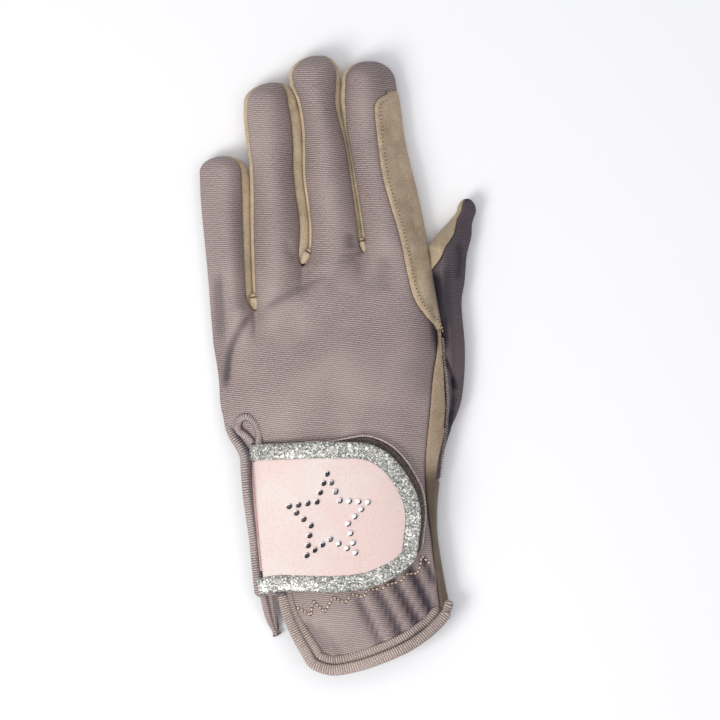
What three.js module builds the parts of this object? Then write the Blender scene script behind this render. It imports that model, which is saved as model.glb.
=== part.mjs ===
// A child's left-hand riding glove, lying palm down: fingertips towards +Y, thumb towards +X.
// Millimetres, +Z up. x = 0 is the middle of the glove and y = 0 the knuckle line while it is drawn.
import * as THREE from "three";

// Driving sizes of the hand
const palmWidth = 79.2;
const handLength = 113.8;
const palmHeight = 20.5;
const sideHeight = 9;
const seamHeight = 8.2;
const palmRise = 2.4;
const domePower = 2.3;
const sideEase = 0.08;
const tipHeight = 5.6;
const roundness = 0.46;

// Cloth, suede and seams
const lycraWall = 1.0;
const suedeWall = 1.2;
const seamGap = 0.5;
const sideInset = 3.4;
const palmInset = 1.5;
const slitRounding = 4.2;
const knuckleDip = 14;
const thumbDip = 52;
const palmDip = 6;
const thumbHeel = 5;
const palmTurn = 0.15;

// Strap over the wrist
const strapLength = 60.5;
const strapHeight = 52.5;
const strapThickness = 1.7;
const strapBorder = 5.7;
const backingThickness = 1.0;
const backingShift = 1.5;
const strapClearance = 0.8;
const pieceGap = 0.3;
const layerGap = 0.4;

// Bindings, loop and tail
const bindingWidth = 3.7;
const bindingHeight = 3.0;
const pipingWidth = 2.9;
const pipingHeight = 2.3;
const pipingTaper = 0.5;
const hemEase = 0.8;
const wristSlitWidth = 2.8;
const sideBindingHeight = 6.4;
const loopDiameter = 2.0;
const tailLength = 13.0;
const tailWidth = 5.4;
const tailThickness = 2.4;

// Stones of the star
const starRadius = 15.0;
const starInnerRadius = 7.1;
const starTilt = 2.5;
const stoneDiameter = 2.0;
const stoneHeight = 0.9;
const stoneClearance = 0.12;

// How finely the surfaces are divided
const longestStep = 10.5;
const tipSteps = 4;
const hemSteps = 4;
const sideSteps = 3;
const gussetSteps = 2;

// Each finger: where its root lies (shares of palmWidth across and of handLength below the knuckles),
// its reach, lean, width and height, its seam insets, and its outline up to where the tip rounds off.
// Outline rows: share of the reach, and half widths left and right of the axis in shares of the width.
const fingers = {
  little: {
    rootX: -0.443, rootDown: 0, reach: 65.5, lean: -0.06, width: 15.6, height: 12.6,
    leftSeam: sideInset, rightSeam: 2.1,
    outline: [
      { along: 0.0, left: 0.504, right: 0.489 },
      { along: 0.206, left: 0.525, right: 0.448 },
      { along: 0.343, left: 0.532, right: 0.438 },
      { along: 0.554, left: 0.564, right: 0.452 },
      { along: 0.766, left: 0.594, right: 0.483 },
      { along: 0.913, left: 0.582, right: 0.496 },
    ],
  },
  ring: {
    rootX: -0.234, rootDown: 0, reach: 91.1, lean: -0.027, width: 19.0, height: 14.2,
    leftSeam: 1.0, rightSeam: 2.8,
    outline: [
      { along: 0.0, left: 0.513, right: 0.382 },
      { along: 0.148, left: 0.494, right: 0.418 },
      { along: 0.315, left: 0.505, right: 0.458 },
      { along: 0.456, left: 0.508, right: 0.505 },
      { along: 0.566, left: 0.514, right: 0.45 },
      { along: 0.665, left: 0.528, right: 0.414 },
      { along: 0.779, left: 0.592, right: 0.419 },
      { along: 0.858, left: 0.625, right: 0.391 },
      { along: 0.919, left: 0.618, right: 0.349 },
    ],
  },
  middle: {
    rootX: -0.007, rootDown: 0, reach: 100.4, lean: -0.052, width: 18.0, height: 14.8,
    leftSeam: 0.8, rightSeam: 0.9,
    outline: [
      { along: 0.0, left: 0.596, right: 0.365 },
      { along: 0.286, left: 0.441, right: 0.555 },
      { along: 0.39, left: 0.381, right: 0.584 },
      { along: 0.5, left: 0.407, right: 0.529 },
      { along: 0.583, left: 0.444, right: 0.472 },
      { along: 0.669, left: 0.422, right: 0.407 },
      { along: 0.755, left: 0.413, right: 0.347 },
      { along: 0.831, left: 0.472, right: 0.303 },
      { along: 0.886, left: 0.604, right: 0.329 },
      { along: 0.924, left: 0.645, right: 0.355 },
    ],
  },
  index: {
    rootX: 0.264, rootDown: 0, reach: 98.4, lean: -0.098, width: 20.1, height: 14.6,
    leftSeam: 0.9, rightSeam: sideInset,
    outline: [
      { along: 0.0, left: 0.741, right: 0.769 },
      { along: 0.341, left: 0.425, right: 0.669 },
      { along: 0.397, left: 0.42, right: 0.649 },
      { along: 0.489, left: 0.439, right: 0.607 },
      { along: 0.601, left: 0.478, right: 0.532 },
      { along: 0.685, left: 0.515, right: 0.469 },
      { along: 0.742, left: 0.539, right: 0.444 },
      { along: 0.847, left: 0.569, right: 0.43 },
      { along: 0.931, left: 0.526, right: 0.402 },
    ],
  },
  thumb: {
    rootX: 0.491, rootDown: 0.258, reach: 80.2, lean: 0.073, width: 14.5, height: 14.0,
    leftSeam: 1.2, rightSeam: sideInset,
    outline: [
      { along: 0.000, left: 0.476, right: 0.014 },
      { along: 0.095, left: 0.519, right: 0.195 },
      { along: 0.164, left: 0.549, right: 0.243 },
      { along: 0.268, left: 0.596, right: 0.249 },
      { along: 0.371, left: 0.642, right: 0.207 },
      { along: 0.552, left: 0.723, right: 0.060 },
      { along: 0.639, left: 0.762, right: 0.096 },
      { along: 0.755, left: 0.814, right: 0.104 },
      { along: 0.837, left: 0.669, right: 0.180 },
      { along: 0.891, left: 0.430, right: 0.177 },
      { along: 0.941, left: 0.214, right: 0.245 },
    ],
  },
};

// The slits between neighbouring fingers: where each ends, in shares of palmWidth and handLength
const slits = [
  { left: "little", right: "ring", across: -0.36, up: 0.106, dip: knuckleDip },
  { left: "ring", right: "middle", across: -0.151, up: 0.243, dip: knuckleDip },
  { left: "middle", right: "index", across: 0.114, up: 0.286, dip: knuckleDip },
  { left: "index", right: "thumb", across: 0.391, up: 0.299, dip: thumbDip },
];

// Lines that run down the hand from the slits, and the two side outlines, in shares of palmWidth;
// down is a share of handLength below the knuckles and top a share of palmHeight.
const handRows = [
  { down: -0.049, left: -0.551, wristSlit: -0.353, ringLine: -0.146, indexLine: 0.072,
    patchEdge: 0.439, thumbLine: 0.4545, right: 0.556, top: 0.78 },
  { down: 0.0, left: -0.542, wristSlit: -0.352, ringLine: -0.142, indexLine: 0.076,
    patchEdge: 0.442, thumbLine: 0.459, right: 0.557, top: 0.82 },
  { down: 0.091, left: -0.521, wristSlit: -0.348, ringLine: -0.135, indexLine: 0.083,
    patchEdge: 0.421, thumbLine: 0.468, right: 0.554, top: 0.93 },
  { down: 0.211, left: -0.492, wristSlit: -0.335, ringLine: -0.128, indexLine: 0.09,
    patchEdge: 0.406, thumbLine: 0.474, right: 0.52, top: 1.0 },
  { down: 0.289, left: -0.395, wristSlit: -0.315, ringLine: -0.12, indexLine: 0.098,
    patchEdge: 0.395, thumbLine: 0.463, right: 0.482, top: 0.99 },
  { down: 0.35, left: -0.38, wristSlit: -0.29, ringLine: -0.115, indexLine: 0.102,
    patchEdge: 0.388, thumbLine: 0.448, right: 0.46, top: 0.95 },
  { down: 0.41, left: -0.37, wristSlit: -0.273, ringLine: -0.111, indexLine: 0.107,
    patchEdge: 0.388, thumbLine: 0.434, right: 0.449, top: 0.9 },
  { down: 0.502, left: -0.358, wristSlit: -0.26, ringLine: -0.098, indexLine: 0.124,
    patchEdge: 0.397, thumbLine: 0.432, right: 0.437, top: 0.82 },
  { down: 0.593, left: -0.334, wristSlit: -0.251, ringLine: -0.085, indexLine: 0.142,
    patchEdge: 0.417, thumbLine: 0.434, right: 0.441, top: 0.76 },
  { down: 1.0, left: -0.29, wristSlit: -0.26, ringLine: -0.05, indexLine: 0.18,
    patchEdge: 0.47, thumbLine: 0.48, right: 0.495, top: 0.7 },
];

// Border of the suede patch on the index finger, and the share of the thumb's top that its suede side takes
const patchBorder = [
  { along: 0.056, edge: 0.712 },
  { along: 0.074, edge: 0.675 },
  { along: 0.102, edge: 0.558 },
  { along: 0.144, edge: 0.42 },
  { along: 0.186, edge: 0.347 },
  { along: 0.301, edge: 0.271 },
  { along: 0.392, edge: 0.222 },
  { along: 0.489, edge: 0.124 },
  { along: 0.598, edge: 0.03 },
  { along: 0.721, edge: 0.012 },
  { along: 0.801, edge: 0.008 },
  { along: 0.833, edge: 0.066 },
  { along: 0.852, edge: 0.17 },
  { along: 0.873, edge: 0.404 },
];
const thumbLeaf = [
  { along: 0.69, share: 0.0 },
  { along: 0.742, share: 0.43 },
  { along: 0.803, share: 0.62 },
  { along: 0.876, share: 0.6 },
  { along: 0.941, share: 0.0 },
  { along: 1.0, share: 0.0 },
];

// Lowest edge of the cuff, from the wrist slit round to the thumb's side
const cuffEdge = [
  { across: -0.262, down: 0.757 },
  { across: -0.243, down: 0.815 },
  { across: -0.207, down: 0.874 },
  { across: -0.162, down: 0.932 },
  { across: -0.118, down: 0.978 },
  { across: -0.026, down: 1.0 },
  { across: 0.079, down: 0.99 },
  { across: 0.197, down: 0.964 },
  { across: 0.312, down: 0.929 },
  { across: 0.391, down: 0.894 },
  { across: 0.452, down: 0.858 },
  { across: 0.489, down: 0.828 },
];

// Folds and gathers of the back: a line from one place to another, half width and height in millimetres
// (a height below zero is a valley).
const folds = [
  { x1: 0.091, down1: 0.777, x2: 0.166, down2: 0.878, halfWidth: 2.2, height: -1.3 },
  { x1: 0.166, down1: 0.748, x2: 0.259, down2: 0.859, halfWidth: 2.2, height: -1.4 },
  { x1: 0.238, down1: 0.711, x2: 0.337, down2: 0.832, halfWidth: 2.2, height: -1.4 },
  { x1: 0.325, down1: 0.687, x2: 0.395, down2: 0.793, halfWidth: 2.0, height: -1.2 },
  { x1: 0.002, down1: 0.793, x2: 0.063, down2: 0.912, halfWidth: 2.2, height: -0.9 },
  { x1: -0.085, down1: 0.812, x2: -0.033, down2: 0.921, halfWidth: 2.0, height: -0.7 },
  { x1: 0.098, down1: -0.252, x2: -0.133, down2: -0.137, halfWidth: 3.6, height: -0.8 },
  { x1: -0.133, down1: -0.137, x2: -0.426, down2: 0.021, halfWidth: 4.4, height: -0.8 },
  { x1: -0.369, down1: -0.096, x2: -0.465, down2: 0.018, halfWidth: 3.0, height: -1.0 },
  { x1: -0.465, down1: 0.018, x2: -0.493, down2: 0.14, halfWidth: 3.0, height: -0.9 },
  { x1: 0.465, down1: 0.061, x2: 0.485, down2: 0.128, halfWidth: 1.6, height: 0.7 },
  { x1: 0.485, down1: 0.128, x2: 0.478, down2: 0.216, halfWidth: 1.6, height: 0.7 },
  { x1: 0.502, down1: 0.116, x2: 0.489, down2: 0.246, halfWidth: 1.6, height: -1.0 },
];

// Outline of the strap from its upper left corner round its free end to the lower left corner,
// in shares of strapLength from the left and of strapHeight below the top.
const strapOutline = [
  { across: 0.0, down: 0.02 },
  { across: 0.18, down: 0.01 },
  { across: 0.36, down: 0.0 },
  { across: 0.55, down: 0.0 },
  { across: 0.68, down: 0.01 },
  { across: 0.79, down: 0.06 },
  { across: 0.875, down: 0.14 },
  { across: 0.945, down: 0.24 },
  { across: 0.99, down: 0.36 },
  { across: 1.0, down: 0.5 },
  { across: 0.985, down: 0.65 },
  { across: 0.955, down: 0.77 },
  { across: 0.885, down: 0.86 },
  { across: 0.79, down: 0.925 },
  { across: 0.67, down: 0.965 },
  { across: 0.48, down: 0.99 },
  { across: 0.3, down: 0.99 },
  { across: 0.16, down: 0.985 },
  { across: 0.05, down: 1.01 },
];
const strapPlace = { across: -0.376, down: 0.292 };
const starPlace = { across: 0.45, down: 0.515 };

// Course of the hanging loop, in shares of palmWidth and handLength
const loopCourse = [
  { across: -0.347, down: 0.282 },
  { across: -0.347, down: 0.264 },
  { across: -0.361, down: 0.237 },
  { across: -0.391, down: 0.219 },
  { across: -0.424, down: 0.226 },
  { across: -0.436, down: 0.245 },
  { across: -0.428, down: 0.262 },
  { across: -0.404, down: 0.275 },
  { across: -0.384, down: 0.284 },
];

// Course of the side binding and lower end of the flank beside the wrist slit
const bindingCourse = [
  { across: -0.43, down: 0.303 },
  { across: -0.415, down: 0.331 },
  { across: -0.402, down: 0.38 },
  { across: -0.398, down: 0.43 },
  { across: -0.393, down: 0.477 },
  { across: -0.381, down: 0.526 },
  { across: -0.372, down: 0.574 },
  { across: -0.357, down: 0.628 },
];
const wristCentre = { across: 0.11, down: 0.62 };
const flankEnd = { down: 0.762, left: -0.318, right: -0.27 };

const wristY = -0.593 * handLength;
const thumbBaseY = -fingers.thumb.rootDown * handLength;
const slitTopY = -0.4 * handLength;
const patchFootY = 0.049 * handLength;
const patchTopAlong = 0.873;

const mix = (a, b, share) => a + (b - a) * share;
const clamp = (value) => Math.min(1, Math.max(0, value));
const smoothStep = (value) => clamp(value) ** 2 * (3 - 2 * clamp(value));

// Reads one column of a table at a key: a cubic through the rows with slopes from their neighbours.
function readTable(rows, key, column, at) {
  const last = rows.length - 1;
  if (at <= rows[0][key]) return rows[0][column];
  if (at >= rows[last][key]) return rows[last][column];
  const i = rows.findIndex((row) => row[key] > at) - 1;
  const slope = (j) => {
    const a = rows[Math.max(0, j - 1)];
    const b = rows[Math.min(last, j + 1)];
    return (b[column] - a[column]) / (b[key] - a[key]);
  };
  const width = rows[i + 1][key] - rows[i][key];
  const t = (at - rows[i][key]) / width;
  const rise = rows[i + 1][column] - rows[i][column];
  const start = slope(i) * width - rise;
  const end = -slope(i + 1) * width + rise;
  return rows[i][column] + t * rise + t * (1 - t) * (start * (1 - t) + end * t);
}

const slitX = (slit) => slit.across * palmWidth;
const slitY = (slit) => slit.up * handLength;
const handLine = (column, y) => readTable(handRows, "down", column, -y / handLength) * palmWidth;

// Share of a finger's reach at a height y, and how much its rounded tip has closed there (1 open, 0 shut)
const alongFinger = (finger, y) => (y + finger.rootDown * handLength) / finger.reach;
function tipClosing(finger, y) {
  const start = finger.outline.at(-1).along;
  const past = clamp((alongFinger(finger, y) - start) / (1 - start));
  return Math.sqrt(1 - past * past);
}
const tipY = (finger) => finger.reach - finger.rootDown * handLength;
const tipX = (finger) => finger.rootX * palmWidth + finger.lean * finger.reach;

function fingerLine(finger, rows, column, y) {
  const along = alongFinger(finger, y);
  const axis = finger.rootX * palmWidth + finger.lean * finger.reach * along;
  return axis + readTable(rows, "along", column, along) * finger.width * tipClosing(finger, y);
}

// Outline of a finger, drawn together into the end of the slit on that side
function slitOpening(slit, y) {
  return Math.sqrt(clamp((y - slitY(slit)) / slitRounding));
}
function fingerOutline(name, side, y) {
  const finger = fingers[name];
  const axis = finger.rootX * palmWidth + finger.lean * finger.reach * alongFinger(finger, y);
  const halfWidth = Math.abs(axis - fingerLine(finger, finger.outline, side, y));
  const signed = readTable(finger.outline, "along", side, alongFinger(finger, y)) < 0 ? -1 : 1;
  const x = side === "left" ? axis - halfWidth * signed : axis + halfWidth * signed;
  const slit = slits.find((each) => each[side === "left" ? "right" : "left"] === name);
  return slit ? mix(slitX(slit), x, slitOpening(slit, y)) : x;
}

// Left and right silhouettes of the whole glove
const leftOutline = (y) => (y > 0 ? fingerOutline("little", "left", y) : handLine("left", y));
const rightOutline = (y) => (y > thumbBaseY ? fingerOutline("thumb", "right", y) : handLine("right", y));

// The line between two neighbours below their slit
const lineNames = ["wristSlit", "ringLine", "indexLine", "thumbLine"];
function dividingLine(index, y) {
  const slit = slits[index];
  const firstY = -handRows[0].down * handLength;
  if (y <= firstY) return handLine(lineNames[index], y);
  return mix(handLine(lineNames[index], firstY), slitX(slit), (y - firstY) / (slitY(slit) - firstY));
}

// Upper seam of a finger at one side, where its back meets the gusset or turns down the side
function seamLine(name, side, y) {
  const finger = fingers[name];
  const index = slits.findIndex((slit) => slit[side === "left" ? "right" : "left"] === name);
  const inward = side === "left" ? 1 : -1;
  if (index >= 0 && y > slitY(slits[index])) {
    const open = slitOpening(slits[index], y) * tipClosing(finger, y);
    return fingerOutline(name, side, y) + inward * finger[`${side}Seam`] * open;
  }
  if (index >= 0 && !(index === 3 && y <= thumbBaseY)) return dividingLine(index, y);
  if (name === "little") {
    const room = 0.4 * (dividingLine(0, Math.min(y, slitY(slits[0]))) - leftOutline(y));
    const inset = y > 0 ? finger.leftSeam * tipClosing(finger, y) : Math.min(finger.leftSeam, room);
    return leftOutline(y) + inset;
  }
  const base = Math.max(y, thumbBaseY);
  const room = 0.6 * (fingerOutline("thumb", "right", base) - dividingLine(3, Math.min(base, slitY(slits[3]))));
  return rightOutline(y) - Math.min(sideInset, room) * tipClosing(fingers.thumb, y);
}

// Palm seam at one side, and the line between palm and thumb underneath
function palmLine(name, side, y) {
  const index = slits.findIndex((slit) => slit[side === "left" ? "right" : "left"] === name);
  const finger = fingers[name];
  const inward = side === "left" ? 1 : -1;
  if (index >= 0 && y > slitY(slits[index])) {
    return fingerOutline(name, side, y) + inward * palmInset * slitOpening(slits[index], y) * tipClosing(finger, y);
  }
  if (index >= 0 && index < 3) return dividingLine(index, y);
  if (name === "little") return leftOutline(y) + palmInset * tipClosing(finger, y);
  const outer = rightOutline(y) - palmInset * tipClosing(fingers.thumb, y);
  if (index < 0 || y <= thumbBaseY) return outer;
  const base = rightOutline(thumbBaseY) - palmInset - thumbHeel;
  return mix(base, slitX(slits[3]), (y - thumbBaseY) / (slitY(slits[3]) - thumbBaseY));
}

// Height of the back of the hand: a dome across its width, with its folds
function foldHeight(x, y) {
  let height = 0;
  for (const fold of folds) {
    const ax = fold.x1 * palmWidth;
    const ay = -fold.down1 * handLength;
    const dx = fold.x2 * palmWidth - ax;
    const dy = -fold.down2 * handLength - ay;
    const along = clamp(((x - ax) * dx + (y - ay) * dy) / (dx * dx + dy * dy));
    const distance = Math.hypot(x - ax - along * dx, y - ay - along * dy);
    height += fold.height * Math.exp(-((distance / fold.halfWidth) ** 2));
  }
  return height;
}
function handHeight(x, y) {
  const left = seamLine("little", "left", Math.min(y, 0));
  const right = y > thumbBaseY ? mix(dividingLine(3, Math.min(y, slitY(slits[3]))), rightOutline(y), 0.5)
    : seamLine("thumb", "right", y);
  const across = Math.abs((2 * x - left - right) / (right - left));
  const past = Math.max(0, across - 1);
  const dome = 1 - Math.min(1, across) ** domePower - domePower * sideEase * (1 - Math.exp(-past / sideEase));
  const top = readTable(handRows, "down", "top", -y / handLength) * palmHeight;
  return sideHeight + (top - sideHeight) * dome + foldHeight(x, y);
}

// How far a place on a finger's edge has turned from hand to finger
function turned(name, side, y) {
  const slit = slits.find((each) => each[side === "left" ? "right" : "left"] === name)
    ?? slits.find((each) => each.left === name || each.right === name);
  if (name === "thumb" && side === "right") return smoothStep((y - thumbBaseY) / (0.5 * thumbDip));
  return smoothStep((y - slitY(slit) + slit.dip) / slit.dip);
}
function backHeight(name, x, y) {
  const finger = fingers[name];
  const left = seamLine(name, "left", y);
  const right = seamLine(name, "right", y);
  const share = right > left ? clamp((x - left) / (right - left)) : 0.5;
  const part = mix(turned(name, "left", y), turned(name, "right", y), share);
  const top = mix(mix(palmHeight * 0.76, finger.height, 0.5), finger.height, clamp(alongFinger(finger, y)));
  const crown = Math.min(top - seamHeight, roundness * (right - left));
  const dome = seamHeight + crown * (1 - (2 * share - 1) ** 2);
  const shut = mix(tipHeight, dome, tipClosing(finger, y));
  return mix(handHeight(x, y), shut, part);
}

// The cuff edge moved inwards by an inset
const cuffCurve = new THREE.CatmullRomCurve3(
  cuffEdge.map((row) => new THREE.Vector3(row.across * palmWidth, -row.down * handLength, 0)));
function cuffPoint(t, inset) {
  const point = cuffCurve.getPoint(t);
  const tangent = cuffCurve.getTangent(t);
  return [point.x - tangent.y * inset, point.y + tangent.x * inset];
}
// The hem of a panel inside the bindings, drawn in towards the middle of the wrist
function cuffInside(t, inset) {
  const point = cuffCurve.getPoint(t);
  const inward = new THREE.Vector3(wristCentre.across * palmWidth, -wristCentre.down * handLength, 0);
  inward.sub(point).setLength(inset);
  return [point.x + inward.x, point.y + inward.y];
}
const pipingAt = (t) => pipingWidth * mix(pipingTaper, 1, smoothStep(t / 0.3));
const hemInset = (t) => bindingWidth + pipingAt(t) + 2 * pieceGap + hemEase;

// How far the wrist slit stands open on the side of the back
const wristGap = (y) => wristSlitWidth * clamp((slitTopY - y) / (slitTopY - wristY)) ** 0.7;

// A row across the glove: y alone above the wrist, and below it a share towards the cuff
function downToCuff(x, row, flank) {
  if (!row.hem) return [x, row.y];
  const slit = dividingLine(0, wristY) + wristGap(wristY);
  const right = seamLine("thumb", "right", wristY);
  let end;
  if (flank !== null) {
    end = [mix(flankEnd.left, flankEnd.right, flank) * palmWidth, -flankEnd.down * handLength];
  } else {
    const t = clamp((x - slit) / (right - slit));
    end = cuffInside(t, hemInset(t));
  }
  return [mix(x, end[0], row.hem), mix(wristY, end[1], row.hem)];
}

// The strips that cover the back from left to right, with their edges and their finger
function stripEdges(strip, y) {
  const patch = () => {
    const index = fingers.index;
    const edge = seamLine("index", "right", y);
    const line = y > patchFootY ? fingerLine(index, patchBorder, "edge", y) : handLine("patchEdge", y);
    return alongFinger(index, y) > patchTopAlong ? edge : Math.min(line, edge);
  };
  const thumb = () => {
    const share = clamp(readTable(thumbLeaf, "along", "share", alongFinger(fingers.thumb, y)));
    return mix(seamLine("thumb", "left", y), seamLine("thumb", "right", y), share);
  };
  if (strip === "patch") return [patch(), seamLine("index", "right", y)];
  if (strip === "index") return [seamLine("index", "left", y), patch()];
  if (strip === "leaf") return [seamLine("thumb", "left", y), thumb()];
  if (strip === "thumb") return [thumb(), seamLine("thumb", "right", y)];
  const opened = strip === "ring" ? wristGap(y) : 0;
  return [seamLine(strip, "left", y) + opened, seamLine(strip, "right", y)];
}
const strips = [
  { name: "little", finger: "little", steps: 4 },
  { name: "ring", finger: "ring", steps: 4 },
  { name: "middle", finger: "middle", steps: 4 },
  { name: "index", finger: "index", steps: 3 },
  { name: "patch", finger: "index", steps: 2 },
  { name: "leaf", finger: "thumb", steps: 2 },
  { name: "thumb", finger: "thumb", steps: 3 },
];
function backPoint(strip, row, share) {
  const [left, right] = stripEdges(strip.name, row.y);
  const x = mix(left, right, share);
  const [px, py] = downToCuff(x, row, strip.name === "little" ? share : null);
  return [px, py, row.hem ? handHeight(px, py) : backHeight(strip.finger, x, row.y)];
}

// The palm lies flat and turns up towards its seams
function palmPoint(name, row, share) {
  const finger = fingers[name];
  const left = palmLine(name, "left", row.y) + (name === "ring" ? wristGap(row.y) : 0);
  const right = palmLine(name, "right", row.y);
  const x = mix(left, right, share);
  const [px, py] = downToCuff(x, row, name === "little" ? share : null);
  const index = slits.findIndex((slit) => slit.left === name);
  const before = slits.findIndex((slit) => slit.right === name);
  const rise = (k) => (k < 0 ? 1 : smoothStep((row.y - slitY(slits[k]) + palmDip) / palmDip));
  const outerRight = name === "index" && row.y <= thumbBaseY ? 1 : rise(index);
  const edge = (near) => clamp(1 - near / palmTurn) ** 2;
  const lift = palmRise * (rise(before) * edge(share) + outerRight * edge(1 - share));
  return [px, py, mix(tipHeight, lift, tipClosing(finger, row.y))];
}

// A side wall between an upper and a lower edge point that swells out to the outline
function wallPoint(upper, lower, outline, share) {
  const swell = outline === null ? 0 : outline - (upper[0] + lower[0]) / 2;
  return [
    mix(upper[0], lower[0], share) + swell * Math.sin(Math.PI * share),
    mix(upper[1], lower[1], share),
    mix(upper[2], lower[2], share),
  ];
}

// Rows: every named height, filled so that no step is too long, then each finger's rounded tip
function fillRows(keys, step) {
  const sorted = [...new Set(keys)].sort((a, b) => a - b);
  const rows = [];
  for (let i = 0; i < sorted.length - 1; i += 1) {
    const parts = Math.max(1, Math.ceil((sorted[i + 1] - sorted[i]) / step));
    for (let k = 0; k < parts; k += 1) rows.push(mix(sorted[i], sorted[i + 1], k / parts));
  }
  rows.push(sorted.at(-1));
  return rows.map((y) => ({ y }));
}
const highestSlit = Math.max(...slits.map(slitY));
const shoulders = slits.flatMap((slit) => [slitY(slit), slitY(slit) + 0.25 * slitRounding]);
const sharedRows = fillRows(
  [wristY, thumbBaseY, slitTopY, patchFootY, 0, highestSlit, ...shoulders.filter((y) => y <= highestSlit)],
  longestStep);
const hemRows = [];
for (let k = hemSteps; k > 0; k -= 1) hemRows.push({ y: wristY, hem: k / hemSteps });
const commonRows = [...hemRows, ...sharedRows];
function rowsOf(name) {
  const finger = fingers[name];
  const shoulder = finger.outline.at(-1).along * finger.reach - finger.rootDown * handLength;
  const nearSlits = slits.filter((slit) => slit.left === name || slit.right === name);
  const keys = [highestSlit, shoulder];
  for (const slit of nearSlits) {
    for (const part of [0.25, 1]) {
      const y = slitY(slit) + part * slitRounding;
      if (y > highestSlit + 0.3 && y < shoulder - 1) keys.push(y);
    }
  }
  const rows = fillRows(keys, longestStep).slice(1);
  for (let k = 1; k <= tipSteps; k += 1) {
    rows.push({ y: mix(shoulder, tipY(finger), Math.sin((0.5 * Math.PI * k) / tipSteps)) });
  }
  rows.at(-1).y = tipY(finger);
  return [...commonRows, ...rows];
}

// The whole skin as one set of triangles, each with its panel's name
const points = [];
const lookup = new Map();
const panels = new Map();
function vertexAt(point) {
  const key = point.map((value) => Math.round(value * 1e4)).join();
  if (!lookup.has(key)) {
    lookup.set(key, points.length);
    points.push(new THREE.Vector3(...point));
  }
  return lookup.get(key);
}
function addFace(panel, a, b, c) {
  if (a === b || b === c || c === a) return;
  if (!panels.has(panel)) panels.set(panel, []);
  panels.get(panel).push([a, b, c]);
}
// A grid of rows and shares across; panelAt names the panel of each cell and null leaves it out.
function addGrid(rows, shares, pointAt, panelAt) {
  const grid = rows.map((row) => shares.map((share) => vertexAt(pointAt(row, share))));
  for (let j = 0; j < rows.length - 1; j += 1) {
    const panel = panelAt(rows[j], rows[j + 1]);
    if (!panel) continue;
    for (let i = 0; i < shares.length - 1; i += 1) {
      addFace(panel, grid[j][i], grid[j][i + 1], grid[j + 1][i + 1]);
      addFace(panel, grid[j][i], grid[j + 1][i + 1], grid[j + 1][i]);
    }
  }
}
const evenShares = (steps) => Array.from({ length: steps + 1 }, (unused, i) => i / steps);

for (const strip of strips) {
  const aboveThumbBase = (row) => row.y >= thumbBaseY && !row.hem;
  addGrid(rowsOf(strip.finger), evenShares(strip.steps), (row, share) => backPoint(strip, row, share), (row, next) => {
    if (strip.name === "patch") return next.y > patchFootY ? "index_patch" : "side_strip";
    if (strip.name === "leaf") return aboveThumbBase(row) ? "thumb_inner" : null;
    if (strip.name === "thumb") return aboveThumbBase(row) ? "thumb_back" : null;
    return "back_panel";
  });
}
const palmShares = [0, 0.15, 0.85, 1];
for (const name of Object.keys(fingers)) {
  const shares = [...palmShares].reverse();
  addGrid(rowsOf(name), shares, (row, share) => palmPoint(name, row, share), (row) => {
    if (name === "thumb") return row.y >= thumbBaseY && !row.hem ? "thumb_inner" : null;
    return "palm_panel";
  });
}
const stripOf = (name) => strips.find((strip) => strip.name === name);
function addWall(name, side, steps, panelAt) {
  const strip = side === "left" ? stripOf(name === "thumb" ? "leaf" : name)
    : stripOf(name === "index" ? "patch" : name);
  const edge = side === "left" ? 0 : 1;
  const outline = (row, upper) => {
    if (row.hem && side === "left") return null;
    if (row.hem) return handLine("right", upper[1]);
    if (name === "little" && side === "left") return leftOutline(row.y);
    if (name === "thumb" && side === "right") return rightOutline(row.y);
    return fingerOutline(name, side, row.y);
  };
  const belowThumb = (row) => side === "right" && name === "thumb" && row.y <= thumbBaseY;
  const shares = evenShares(steps);
  addGrid(rowsOf(name), side === "right" ? shares : [...shares].reverse(), (row, share) => {
    const upper = backPoint(belowThumb(row) ? stripOf("patch") : strip, row, edge);
    const lower = palmPoint(belowThumb(row) ? "index" : name, row, edge);
    return wallPoint(upper, lower, outline(row, upper), share);
  }, panelAt);
}
addWall("little", "left", sideSteps, () => "back_panel");
addWall("thumb", "right", sideSteps, (row) => (row.y >= thumbBaseY && !row.hem ? "thumb_back" : "side_strip"));
slits.forEach((slit, index) => {
  const above = (row) => row.y >= slitY(slit) - 1e-6 && !row.hem;
  const gusset = `fourchette_${slit.left}_${slit.right}`;
  const leftPanel = (row) => {
    if (index < 3) return gusset;
    return alongFinger(fingers.index, row.y) >= patchTopAlong ? "back_panel" : "index_patch";
  };
  addWall(slit.left, "right", gussetSteps, (row) => (above(row) ? leftPanel(row) : null));
  addWall(slit.right, "left", gussetSteps, (row) => (above(row) ? (index < 3 ? gusset : "thumb_inner") : null));
});

// Normals of the whole skin, so that neighbouring panels thicken in the same direction at their seam
const normals = points.map(() => new THREE.Vector3());
for (const faces of panels.values()) {
  for (const [a, b, c] of faces) {
    const normal = points[b].clone().sub(points[a]).cross(points[c].clone().sub(points[a]));
    for (const corner of [a, b, c]) normals[corner].add(normal);
  }
}
normals.forEach((normal) => normal.normalize());

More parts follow.
